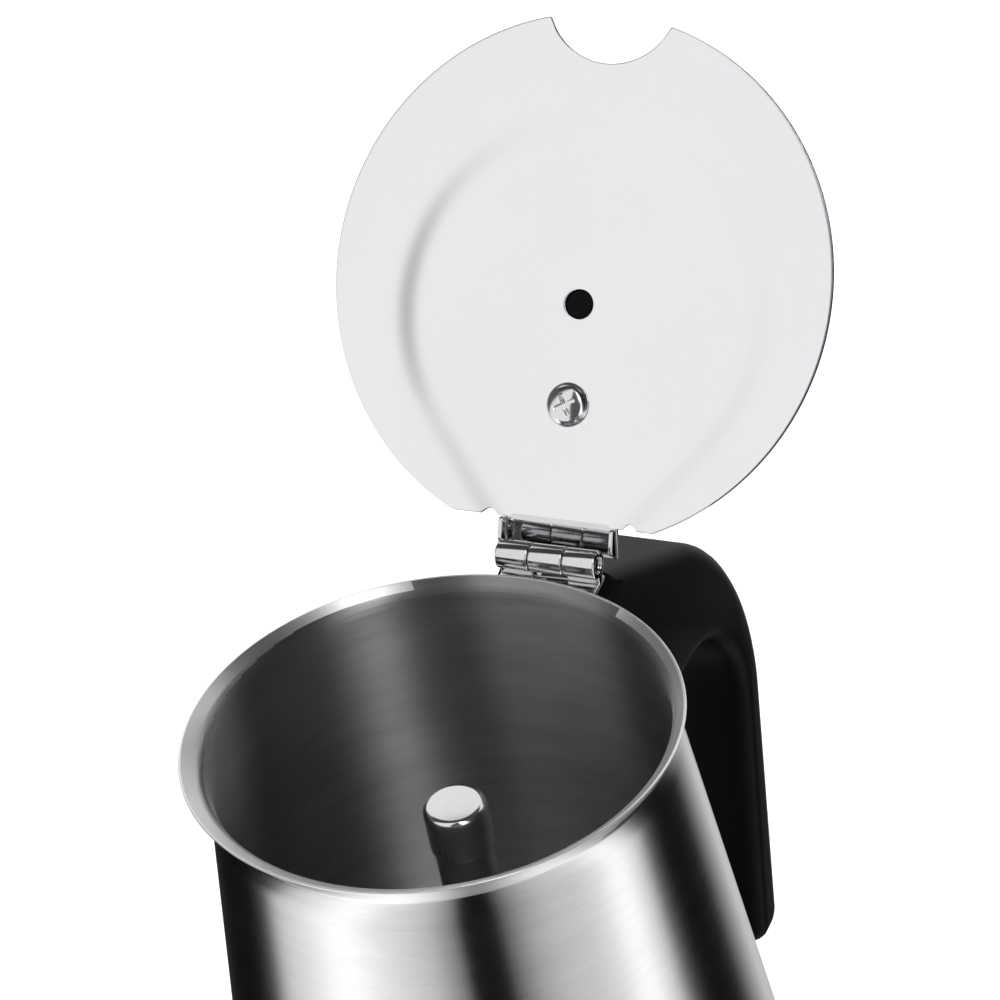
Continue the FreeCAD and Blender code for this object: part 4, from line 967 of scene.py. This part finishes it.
# ------------------------------------------------------------------ coffee chamber
@dataclass
class CoffeeChamber:
    """The coffee chamber: wall with its flared rim, collar, riser column and cap.

    Attributes:
        wall: The outer radius at the bottom in millimetres.
        throat: The outer radius where the flare starts.
        rim: The outer radius of the rim.
        bottom: The height of the lower edge.
        seam: The height where the flare starts.
        rim_height: The height of the rim on the axis.
        shift: How far the rim's centre is from the axis, away from the handle.
        tilt: How much the rim rises towards the pouring side, in degrees.
        sheet: The thickness of the steel.
        floor: The height of the inside floor.
        hole: The radius of the floor's hole for the riser column.
        riser: The outer radius of the column.
        riser_bore: The radius of the passage in it.
        riser_top: The height of the column's end, under the cap.
        grip: The radius inside the collar.
        collar_top: The height of the collar's upper edge.
    """

    wall: float = 48.9
    throat: float = 40.95
    rim: float = 44.0
    bottom: float = 104.3
    seam: float = 181.0
    rim_height: float = 190.0
    shift: float = 2.15
    tilt: float = 3.43
    sheet: float = 0.8
    floor: float = 109.3
    hole: float = 10.95
    riser: float = 5.15
    riser_bore: float = 4.2
    riser_top: float = 168.5
    grip: float = 39.0
    collar_top: float = 108.4

    def lean(self, bm: Shape) -> None:
        """Leans the flare over: the rim's centre moves to the pouring side, and its plane tilts.

        Args:
            bm: The chamber's shape, which is changed.
        """
        slope = math.tan(math.radians(self.tilt))
        for vert in bm.verts:
            rise = (vert.co.z / MM - self.seam) / (self.rim_height - self.seam)
            if rise > 0:
                part = min(rise, 1.0)
                vert.co.x -= self.shift * MM * part ** 2.2
                vert.co.z -= vert.co.x * slope * min(1.0, rise / 0.74) ** 1.3

    def shell(self) -> None:
        """Builds the wall, flare, rim and floor."""
        s = self.sheet
        waist, flare = self.throat - 0.1, self.throat + 0.55
        corners = [
            (self.hole, self.floor - s), (42.8, self.floor - s), (42.8, self.bottom + s),
            (42.1, self.bottom + s), (42.1, self.bottom), (self.wall, self.bottom, 0.8),
            (self.throat + 0.12, self.seam - 1.2), (self.throat, self.seam), (waist, self.seam + 1.6),
            (waist, 185.2, 4), (flare, 187.7, 3), (self.rim, self.rim_height, 0.3),
            (self.rim - s, self.rim_height, 0.3), (flare - s, 187.9, 3.4), (waist - s, 185.2, 4),
            (waist - s, self.seam + 1.6), (self.throat - s, self.seam),
            (self.throat + 0.12 - s, self.seam - 1.2), (47.6, self.floor, 2.5), (self.hole, self.floor)]
        shell = lathe(corners, steps=224, segments=8)
        self.lean(shell)
        piece = finished(shell, "chamber", "chamber", OUTER_STEEL, "chamber_shell")
        piece.data.materials.append(SHADED_INNER_STEEL.material())
        piece.data.materials.append(LIT_RIM_STEEL.material())
        # Inward faces and the floor get the painted-shade inner steel; the flare above the throat gets the
        # painted-highlight rim steel.
        for face in piece.data.polygons:
            spot, reach = face.center / MM, face.center.xy.length / MM
            if face.normal.xy.dot(face.center.xy) < 0 or face.normal.z > 0.9:
                face.material_index = 1
            if reach > self.throat - 0.2 and spot.z > self.seam + 5.2:
                face.material_index = 2

    def column(self) -> None:
        """Builds the riser column and its cap with the two outlets."""
        under, spigot, foot = self.floor - self.sheet, self.hole - 0.05, 12
        tube = lathe([
            (self.riser_bore, under), (spigot, under), (spigot, self.floor), (foot, self.floor, 0.3),
            (foot, 110.1, 0.5), (7.35, 114.3, 5), (self.riser, 121.3, 12), (self.riser, self.riser_top, 0.2),
            (self.riser_bore, self.riser_top, 0.2)], steps=96)
        finished(tube, "riser_column", "chamber", BRIGHT_STEEL, "column_tube")
        top, ceiling, skirt, skin, lip = 171, 170.2, 5.7, 5.2, 162
        cap = lathe([(0, top), (skirt, top, 1.3), (skirt, lip, 0.25), (skin, lip, 0.1), (skin, ceiling),
                     (0, ceiling)], False, 96, 8)
        outlet = block((-10, -1, 160), (10, 1, 165), 0.4)
        finished(carved(cap, [outlet]), "riser_cap", "chamber", BRIGHT_STEEL, "column_cap")

    def collar(self) -> None:
        """Builds the threaded collar that grips the boiler's neck."""
        edge, outside, turns = 97, 42, 5
        corners = [(self.grip, edge, 0.3), (outside, edge, 0.4), (outside, self.collar_top),
                   (self.grip, self.collar_top)]
        for i in range(turns):
            corners += groove(self.grip, self.grip + 0.5, 107.0 - 2.0 * i, -0.5, -0.5)
        finished(lathe(corners, steps=128), "collar", "chamber", DRAWN_STEEL, "threaded_collar")

    def build(self) -> None:
        """Builds the whole chamber."""
        self.shell()
        self.column()
        self.collar()


@dataclass
class Handle:
    """The moulded handle on the chamber, the lug that holds it, and its screw.

    Attributes:
        width: The handle's width in millimetres.
        edge: The round of its edges.
        gap: The clearance between the handle and the chamber's wall.
        outline: Millimetres across and below the rim, with the radius of each corner.
    """

    width: float = 23.0
    edge: float = 3.6
    gap: float = 0.3
    outline: tuple[Corner, ...] = (
        (42, 12.6), (51.8, 10.2), (51.8, 8), (111, 46.4, 48), (94.4, 131.5, 5), (83.4, 131.5, 4),
        (100.9, 51.5, 21.5), (60, 51.5, 16), (45, 74))

    def build(self, chamber: CoffeeChamber) -> None:
        """Builds the handle round the chamber's wall.

        Args:
            chamber: The chamber that it is fixed to.
        """
        top = chamber.rim_height
        corners = [(c[0], top - c[1]) + tuple(c[2:]) for c in self.outline]
        half = self.width / 2
        body = slab(corners, -half, half, self.edge, 20)
        below, neck = chamber.wall + self.gap + 0.45, chamber.throat + self.gap
        wall = lathe([(0, 100), (below, 100), (neck, chamber.seam), (neck, 200), (0, 200)], False, 160)
        screw_way = rod(4.3, 13, (53, 0, top - 68))
        finished(carved(body, [wall, screw_way]), "grip", "chamber", BLACK_PLASTIC, "handle")
        dress("handle_lug", ZINC)
        dress("handle_screw", ZINC)


# ------------------------------------------------------------------ hinge and lid
@dataclass
class Lid:
    """The open lid with its dish and notch, the hinge, the knob and its screw.

    Lengths along the lid start at the hinge's axis; heights are towards the inside of the lid.

    Attributes:
        hinge_x: The distance of the hinge's axis from the pot's axis in millimetres.
        hinge_z: The height of the hinge's axis.
        side: The place of the hinge's middle across the pot.
        angle: The open lid's angle above the level in degrees.
        radius: The lid's radius.
        reach: The distance of the lid's centre from the hinge.
        face: The height of the lid's inner face.
        sheet: The thickness of the lid.
        dish: The radius of the pressed dish.
        dish_at: The dish's centre along and across the lid.
        depth: The depth of the dish.
        slope: The width of the dish's rounded wall.
        peg_hole: The radius of the hole for the knob's locating peg.
        peg_at: The hole's distance from the hinge.
        screw_at: The distance of the knob's screw from the hinge.
        notch: The radius of the pouring notch.
        notch_at: The notch's centre along and across the lid.
        tab: The distance of the folded edge from the hinge.
        tab_half: Half of the tab's width.
        rays: The number of spokes in the plate's round grid.
        knuckle: The outer radius of the hinge's knuckles.
        pin: The radius of the hinge's pin.
        half: Half of the hinge's width.
        knuckle_half: Half of the middle knuckle's length.
    """

    hinge_x: float = 49.0
    hinge_z: float = 185.5
    side: float = -1.2
    angle: float = 48.92
    radius: float = 47.14
    reach: float = 49.72
    face: float = -1.9
    sheet: float = 0.8
    dish: float = 33.7
    dish_at: tuple[float, float] = (44.1, -0.9)
    depth: float = 1.0
    slope: float = 7.6
    peg_hole: float = 2.6
    peg_at: float = 45.3
    screw_at: float = 27.4
    notch: float = 12.6
    notch_at: tuple[float, float] = (100.6, 0.0)
    tab: float = 6.6
    tab_half: float = 12.0
    rays: int = 480
    knuckle: float = 2.6
    pin: float = 1.5
    half: float = 9.45
    knuckle_half: float = 3.2

    def swing(self) -> Matrix:
        """Returns the placement of a piece that is drawn along the lid."""
        move = Matrix.Translation(Vector((self.hinge_x, 0, self.hinge_z)) * MM)
        return move @ Matrix.Rotation(-math.radians(self.angle), 4, "Y")

    def outline(self, turn: float) -> float:
        """Works out how far the lid reaches from the peg's hole.

        Args:
            turn: The direction from the peg's hole, 0 away from the hinge.

        Returns:
            The distance to the lid's outline in millimetres.
        """
        way = Vector((math.cos(turn), math.sin(turn)))
        start = Vector((self.peg_at, 0.0))
        offset = start - Vector((self.reach, 0.0))
        along = offset.dot(way)
        far = -along + math.sqrt(along * along - offset.length_squared + self.radius ** 2)
        offset = start - Vector(self.notch_at)
        along = offset.dot(way)
        reach = along * along - offset.length_squared + self.notch ** 2
        if reach > 0 and along < 0:
            far = min(far, -along - math.sqrt(reach))
        if way.x < 0:
            edge = (start.x - self.tab) / -way.x
            far = min(far, edge)
        return far

    def relief(self, across: float) -> float:
        """Works out how far the small relief beside the tab pushes the edge back.

        Args:
            across: The place across the lid in millimetres.

        Returns:
            The distance in millimetres.
        """
        width, depth = 2.6, 1.1
        beside = abs(across - self.side) - self.tab_half
        if beside < 0 or beside > width:
            return 0.0
        return depth * math.sin(math.pi * beside / width) ** 0.7

    def well(self, along: float, across: float) -> float:
        """Works out the distance to the edge of the dish, which runs out to the tab's corners.

        Args:
            along: The distance from the hinge in millimetres.
            across: The place across the lid.

        Returns:
            The distance in millimetres, negative inside the dish.
        """
        centre = Vector(self.dish_at)
        spot = Vector((along, across)) - centre
        ring = spot.length - self.dish
        wedge = -self.dish
        for sign in (-1, 1):
            corner = Vector((self.tab - 1.0, self.side + sign * (self.tab_half + 0.5))) - centre
            tangent = math.acos(self.dish / corner.length)
            turn = math.atan2(corner.y, corner.x) - sign * tangent
            touch = Vector((math.cos(turn), math.sin(turn)))
            wedge = max(wedge, spot.dot(touch) - self.dish, spot.x - touch.x * self.dish)
        return min(ring, wedge)

    def height(self, along: float, across: float) -> float:
        """Works out the height of the lid's inner face at a place.

        Args:
            along: The distance from the hinge in millimetres.
            across: The place across the lid.

        Returns:
            The height in millimetres.
        """
        part = min(1.0, max(0.0, 0.5 - self.well(along, across) / self.slope))
        sunk = part * part * (3 - 2 * part) * self.depth
        dimple = 0.35 * math.exp(-(((along - self.screw_at) ** 2 + across ** 2) / 30.0))
        return self.face - sunk - dimple

    def plate(self) -> None:
        """Builds the pressed steel lid from a round grid about the peg's hole."""
        inner, wall, outer = 26, 12, 14
        rows = inner + wall + outer
        bm = bmesh.new()
        row = [bm.verts.new((1.0 + i, 0, 0)) for i in range(rows + 1)]
        for first, second in zip(row, row[1:]):
            bm.edges.new((first, second))
        spun(bm, self.rays)
        step = TURN / self.rays
        tips = [math.atan2(y, x - self.peg_at) for x, y in self.sharp_points()]
        reaches: dict[int, tuple[float, float, float]] = {}
        for ray in range(self.rays):
            turn = (ray * step + math.pi) % TURN - math.pi
            for tip in tips:
                if abs(tip - turn) <= step / 2:
                    turn = tip
            far = self.outline(turn)
            near = min(self.to_ring(turn), far - 5.0)
            reaches[ray] = (turn, near, far)
        for vert in bm.verts:
            ray = round(math.atan2(vert.co.y, vert.co.x) / step) % self.rays
            index = round(vert.co.xy.length) - 1
            turn, near, far = reaches[ray]
            first = near - self.slope * 0.55
            last = near + min(self.slope * 0.55, (far - near) * 0.7)
            if index <= inner:
                reach = self.peg_hole + (first - self.peg_hole) * index / inner
            elif index <= inner + wall:
                reach = first + (last - first) * (index - inner) / wall
            else:
                reach = last + (far - last) * (index - inner - wall) / outer
            along = self.peg_at + reach * math.cos(turn)
            across = reach * math.sin(turn)
            if along < self.tab + 4:
                along += self.relief(across) * max(0.0, 1 - (along - self.tab) / 4)
            vert.co = Vector((along, across, self.height(along, across))) * MM
        bmesh.ops.recalc_face_normals(bm, faces=bm.faces[:])
        if sum(face.normal.z for face in bm.faces) < 0:
            bmesh.ops.reverse_faces(bm, faces=bm.faces[:])
        lower = bmesh.ops.extrude_face_region(bm, geom=bm.faces[:], use_keep_orig=True)["geom"]
        down = [item for item in lower if isinstance(item, bmesh.types.BMVert)]
        bmesh.ops.translate(bm, verts=down, vec=(0, 0, -self.sheet * MM))
        bmesh.ops.recalc_face_normals(bm, faces=bm.faces[:])
        rounded(bm, [e for e in bm.edges if e.calc_face_angle(0) > FOLD_ANGLE], 0.22 * MM, 2)
        bmesh.ops.transform(bm, matrix=self.swing(), verts=bm.verts[:])
        piece = finished(bm, "lid", "lid", LID_STEEL, "lid_plate")
        # Edge faces away from the hinge get the near-black painted-shade edge steel.
        piece.data.materials.append(SHADED_EDGE_STEEL.material())
        normal = self.swing().to_3x3() @ Vector((0, 0, 1))
        hinge = self.hinge_x + 10
        for face in piece.data.polygons:
            if abs(face.normal.dot(normal)) < 0.6 and face.center.x / MM > hinge:
                face.material_index = 1

    def to_ring(self, turn: float) -> float:
        """Works out the distance from the peg's hole to the dish's ring.

        Args:
            turn: The direction, 0 away from the hinge.

        Returns:
            The distance in millimetres.
        """
        way = Vector((math.cos(turn), math.sin(turn)))
        offset = Vector((self.peg_at, 0.0)) - Vector(self.dish_at)
        along = offset.dot(way)
        return -along + math.sqrt(along * along - offset.length_squared + self.dish ** 2)

    def sharp_points(self) -> list[tuple[float, float]]:
        """Works out the corners of the lid's outline.

        Returns:
            Their places along and across the lid in millimetres.
        """
        apart = self.notch_at[0] - self.reach
        near = (apart ** 2 + self.radius ** 2 - self.notch ** 2) / (2 * apart)
        side = math.sqrt(self.radius ** 2 - near ** 2)
        foot = math.sqrt(self.radius ** 2 - (self.reach - self.tab) ** 2)
        return [(self.reach + near, side), (self.reach + near, -side), (self.tab, foot), (self.tab, -foot)]

    def barrel(self, start: float, length: float) -> Shape:
        """Builds one knuckle of the hinge as a tube across the pot.

        Args:
            start: Where it starts across the pot in millimetres.
            length: Its length.

        Returns:
            The knuckle.
        """
        bore = self.pin + 0.05
        tube = lathe([(bore, 0, 0.12), (self.knuckle, 0, 0.3), (self.knuckle, length, 0.3),
                      (bore, length, 0.12)], steps=64, segments=4)
        return place(tube, (0, start, 0), Axis.FRONT_TO_BACK)

    def hinge(self) -> None:
        """Builds the bracket with its two knuckles, and the pin."""
        middle = self.knuckle_half + 0.15
        length = self.half - middle
        axis = (self.hinge_x, 0, self.hinge_z)
        right, left = self.side - self.half, self.side + self.half
        starts = (right, self.side + middle)
        parts = [place(self.barrel(start, length), axis) for start in starts]
        for start in starts:
            low, high = (self.hinge_x - 1.0, start, 181.4), (self.hinge_x + 1.0, start + length, 183.6)
            parts.append(block(low, high, 0.2))
        strip = block((40, right, 180.9), (self.hinge_x + 1.6, left, 182), 0.3)
        wall = lathe([(0, 170), (42.2, 170), (41.05, 181), (41.45, 181.05), (41.45, 190), (0, 190)],
                     False, 128)
        parts.append(carved(strip, [wall]))
        finished(merged(parts), "bracket", "chamber", HINGE_STEEL, "hinge_bracket")
        inset = 0.3
        pin = rod(self.pin, 2 * (self.half - inset), (self.hinge_x, right + inset, self.hinge_z),
                  Axis.FRONT_TO_BACK, 0.35)
        finished(pin, "pin", "chamber", BRIGHT_STEEL, "hinge_pin")

    def leaf(self) -> None:
        """Builds the folded leaf between the lid and the middle knuckle."""
        half = self.half + 1.5
        low, high = self.side - half, self.side + half
        back = self.face - self.depth - 0.05
        bend = math.radians(30)
        fold = Vector((self.tab - 0.3, back + 0.6))
        foot = fold + 5.6 * Vector((-math.cos(bend), -math.sin(bend)))
        thick = 0.7 * Vector((math.sin(bend), -math.cos(bend)))
        end, heel = self.tab + 3.2, foot + thick
        sheet = slab([
            (end, back - 0.8), (end, back - 0.1), (fold.x, fold.y - 0.5, 0.6), (foot.x, foot.y),
            (heel.x, heel.y), (fold.x + thick.x + 0.2, fold.y + thick.y - 0.6, 0.8)], low, high, 0.12, 3)
        ear = [(fold.x + 0.2, fold.y), (fold.x, fold.y + 1.3, 0.6), (foot.x + 0.6, foot.y + 3.4, 0.8),
               (foot.x, foot.y + 0.1)]
        ears = [slab(ear, start, start + 0.8, 0.15, 3) for start in (low, high - 0.8)]
        right, left = self.side - self.knuckle_half, self.side + self.knuckle_half
        link = slab([(foot.x, foot.y), (heel.x, heel.y), (0.5, -self.knuckle - 0.1),
                     (-0.6, -self.knuckle + 0.2)], right, left, 0.1, 3)
        whole = merged([sheet, *ears, link, self.barrel(right, 2 * self.knuckle_half)])
        bmesh.ops.transform(whole, matrix=self.swing(), verts=whole.verts[:])
        finished(whole, "leaf", "lid", HINGE_STEEL, "hinge_leaf")

    def knob(self) -> None:
        """Builds the knob on the lid's outside and the screw that holds it."""
        seat = self.face - self.sheet - self.depth - 0.02
        far = self.peg_at
        near, half = self.screw_at - 8.5, 9
        knob = slab([(near, -0.4, 1), (far + 10.5, -0.4, 1), (far + 15, -13, 2.5), (far + 12, -16, 2),
                     (far - 3, -9.5, 16), (near, -6, 2.5)], -half, half, 2.2, 8)
        peg = rod(self.peg_hole - 0.12, 2.2, (far, 0, -1.5), edge=0.15)
        knob = merged([knob, peg])
        up = Matrix.Translation(Vector((0, 0, seat)) * MM)
        bmesh.ops.transform(knob, matrix=self.swing() @ up, verts=knob.verts[:])
        finished(knob, "knob", "lid", BLACK_PLASTIC, "lid_knob")
        base = self.face - self.depth - 0.33
        head = lathe([(0, 2.2), (1.9, 2.1, 6), (3.5, 1.3, 2.2), (4.0, 0.35, 0.5), (4.0, 0), (2, 0), (2, -5),
                      (0, -5)], False, 64)
        long, thin = 2.1, 0.42
        cross = [block((-x, -y, 1.0), (x, y, 3.0), 0.18) for x, y in ((long, thin), (thin, long))]
        screw = carved(head, cross)
        spot = Matrix.Translation(Vector((self.screw_at, 0, base)) * MM)
        turn = Matrix.Rotation(math.radians(28), 4, "Z")
        bmesh.ops.transform(screw, matrix=self.swing() @ spot @ turn, verts=screw.verts[:])
        finished(screw, "lid_screw", "lid", BRIGHT_STEEL, "knob_screw")

    def build(self) -> None:
        """Builds the hinge and the lid."""
        self.plate()
        self.hinge()
        self.leaf()
        self.knob()


# ------------------------------------------------------------------ studio
@dataclass
class Studio:
    """The floor, the soft light and the camera.

    Attributes:
        azimuth: The camera's azimuth in degrees.
        elevation: Its elevation above the horizon.
        roll: Its roll.
        stand: Its place in metres.
        lens: Its lens in millimetres.
        bands: What the low surroundings look like round the horizon, from behind the camera's left
            round to its right: degrees from the camera's direction and brightness.
        upper: The same above the horizon.
        crown: The same overhead.
    """

    azimuth: float = -61.256
    elevation: float = 38.160
    roll: float = -11.634
    stand: tuple[float, float, float] = (-0.66297, -0.38444, 0.83602)
    lens: float = 211.93
    bands: Stops = (
        (-180, 0.03), (-146, 0.0), (-118, 0.0), (-108, 0.06), (-99, 0.88), (-83, 1.2), (-69, 1.62),
        (-60, 1.62), (-45, 1.2), (-34, 1.0), (-23, 0.78), (-17.5, 0.54), (-12, 0.33), (-7, 0.0),
        (8, 0.0), (14, 0.22), (24, 0.55), (35, 0.78), (46, 0.88), (57, 1.1), (68, 1.6), (74, 1.6),
        (85, 0.9), (91, 0.12), (99, 0.0), (127, 0.0), (139.5, 0.35), (156.5, 0.8), (170, 0.6),
        (180, 0.03))
    upper: Stops = (
        (-180, 1.0), (-150, 1.0), (-140, 0.10), (-98, 0.12), (-90, 0.97), (-45, 1.0), (-33, 1.0),
        (-27, 0.12), (-8, 0.10), (8, 0.14), (15, 1.5), (29, 1.6), (42, 0.15), (58, 0.02), (100, 0.02),
        (116, 0.9), (150, 1.0), (180, 1.0))
    crown: Stops = (
        (-180, 0.06), (-105, 0.06), (-88, 1.0), (-36, 1.0), (-27, 0.10), (8, 0.12), (15, 6.0),
        (29, 6.0), (40, 0.06), (180, 0.06))

    def camera(self) -> None:
        """Stands the camera up."""
        a, e, r = (math.radians(v) for v in (self.azimuth, self.elevation, self.roll))
        back = Vector((math.sin(a) * math.cos(e), -math.cos(a) * math.cos(e), math.sin(e)))
        right = Vector((math.cos(a), math.sin(a), 0))
        up = back.cross(right)
        across = right * math.cos(r) + up * math.sin(r)
        above = up * math.cos(r) - right * math.sin(r)
        data = bpy.data.cameras.new("camera")
        data.lens = self.lens
        data.sensor_width = 36
        data.clip_end = 50
        thing = bpy.data.objects.new("camera", data)
        bpy.context.scene.collection.objects.link(thing)
        turn = Matrix((across, above, back)).transposed().to_4x4()
        thing.matrix_world = Matrix.Translation(self.stand) @ turn
        bpy.context.scene.camera = thing

    def floor(self) -> None:
        """Lays the pale floor."""
        bm = bmesh.new()
        bmesh.ops.create_grid(bm, x_segments=4, y_segments=4, size=12)
        thing = as_object(bm, "floor")
        made = bpy.data.materials.new("pale_floor")
        made.use_nodes = True
        shader = made.node_tree.nodes["Principled BSDF"]
        shader.inputs["Base Color"].default_value = (0.93, 0.93, 0.93, 1)
        shader.inputs["Roughness"].default_value = 0.9
        shader.inputs["Emission Color"].default_value = (1, 1, 1, 1)
        shader.inputs["Emission Strength"].default_value = 0.22
        thing.data.materials.append(made)
        thing.visible_glossy = False
        thing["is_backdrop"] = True

    def ring(self, g: Graph, share: Socket, cards: Stops) -> Socket:
        """Adds the brightness of a ring of cards.

        Args:
            g: The world's graph.
            share: The direction as a share of a full turn.
            cards: Degrees from the camera's direction and brightness.

        Returns:
            The brightness.
        """
        peak = max(value for _, value in cards)
        tones = g.ramp(share, [((d + 180) / 360, value / peak) for d, value in cards], "LINEAR")
        lit = g.add("ShaderNodeVectorMath", {0: tones, 1: (peak, peak, peak)}, operation="MULTIPLY")
        return lit.outputs[0]

    def surroundings(self) -> None:
        """Sets up the soft light all round, with the bright and dark cards that the steel reflects."""
        world = bpy.data.worlds.new("studio")
        bpy.context.scene.world = world
        world.use_nodes = True
        world.node_tree.nodes.clear()
        g = Graph(world.node_tree)
        way = g.add("ShaderNodeTexCoord").outputs["Generated"]
        parts = g.add("ShaderNodeSeparateXYZ", {0: way})
        facing = math.radians(self.azimuth) - math.pi / 2
        turn = g.sum("SUBTRACT", g.sum("ARCTAN2", parts.outputs[1], parts.outputs[0]), facing)
        turn = g.sum("WRAP", turn, math.pi, -math.pi)
        share = g.sum("MULTIPLY_ADD", turn, 1 / TURN, 0.5)
        low, sides, crown = (self.ring(g, share, cards) for cards in (self.bands, self.upper, self.crown))
        overhead = g.ramp(parts.outputs[2], [(0.0, 0.0), (0.70, 0.0), (0.78, 1.0)])
        high = g.add("ShaderNodeMix", {0: overhead, 6: sides, 7: crown}, data_type="RGBA")
        climb = g.sum("MULTIPLY_ADD", parts.outputs[2], 0.5, 0.5)
        rise = g.ramp(climb, [(0.0, 0.0), (0.36, 0.0), (0.44, 1.0)])
        cards = g.add("ShaderNodeMix", {0: rise, 6: low, 7: high.outputs[2]}, data_type="RGBA")
        rays = g.add("ShaderNodeLightPath")
        glossy, soft = rays.outputs["Is Glossy Ray"], (0.97, 0.97, 0.98, 1)
        shown = g.add("ShaderNodeMix", {0: glossy, 6: soft, 7: cards.outputs[2]}, data_type="RGBA")
        lit = g.add("ShaderNodeBackground", {"Color": shown.outputs[2], "Strength": 1.0})
        g.add("ShaderNodeOutputWorld", {"Surface": lit.outputs[0]})

    def lamps(self) -> None:
        """Hangs the soft boxes."""
        target = Vector((0, 0, 0.15))
        for name, at, power in (("key_box", (-0.9, 0.5, 1.5), 9.0), ("fill_box", (0.6, -1.0, 1.3), 5.0)):
            data = bpy.data.lights.new(name, "AREA")
            data.shape = "DISK"
            data.size = 0.9
            data.energy = power
            thing = bpy.data.objects.new(name, data)
            bpy.context.scene.collection.objects.link(thing)
            spot = Vector(at)
            aim = (target - spot).to_track_quat("-Z", "Y").to_matrix().to_4x4()
            thing.visible_glossy = False
            thing.matrix_world = Matrix.Translation(spot) @ aim

    def build(self) -> None:
        """Sets up the whole studio."""
        bpy.context.scene.view_settings.view_transform = "Standard"
        self.camera()
        self.floor()
        self.surroundings()
        self.lamps()


def write_sizes() -> None:
    """Works out the frame's box and the visual model's box; nothing is written."""
    boxes = {"cad": CAD_BOX, "visual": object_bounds()}
    {name: [list(corner) for corner in box] for name, box in boxes.items()}


def main() -> None:
    """Builds the pot from the table up, then the studio."""
    logging.basicConfig(level=logging.INFO, format="%(message)s")
    PowerBase().build()
    Boiler().build()
    Funnel().build()
    chamber = CoffeeChamber()
    chamber.build()
    Handle().build(chamber)
    Lid().build()
    Studio().build()
    write_sizes()


if __name__ == "__main__":
    main()
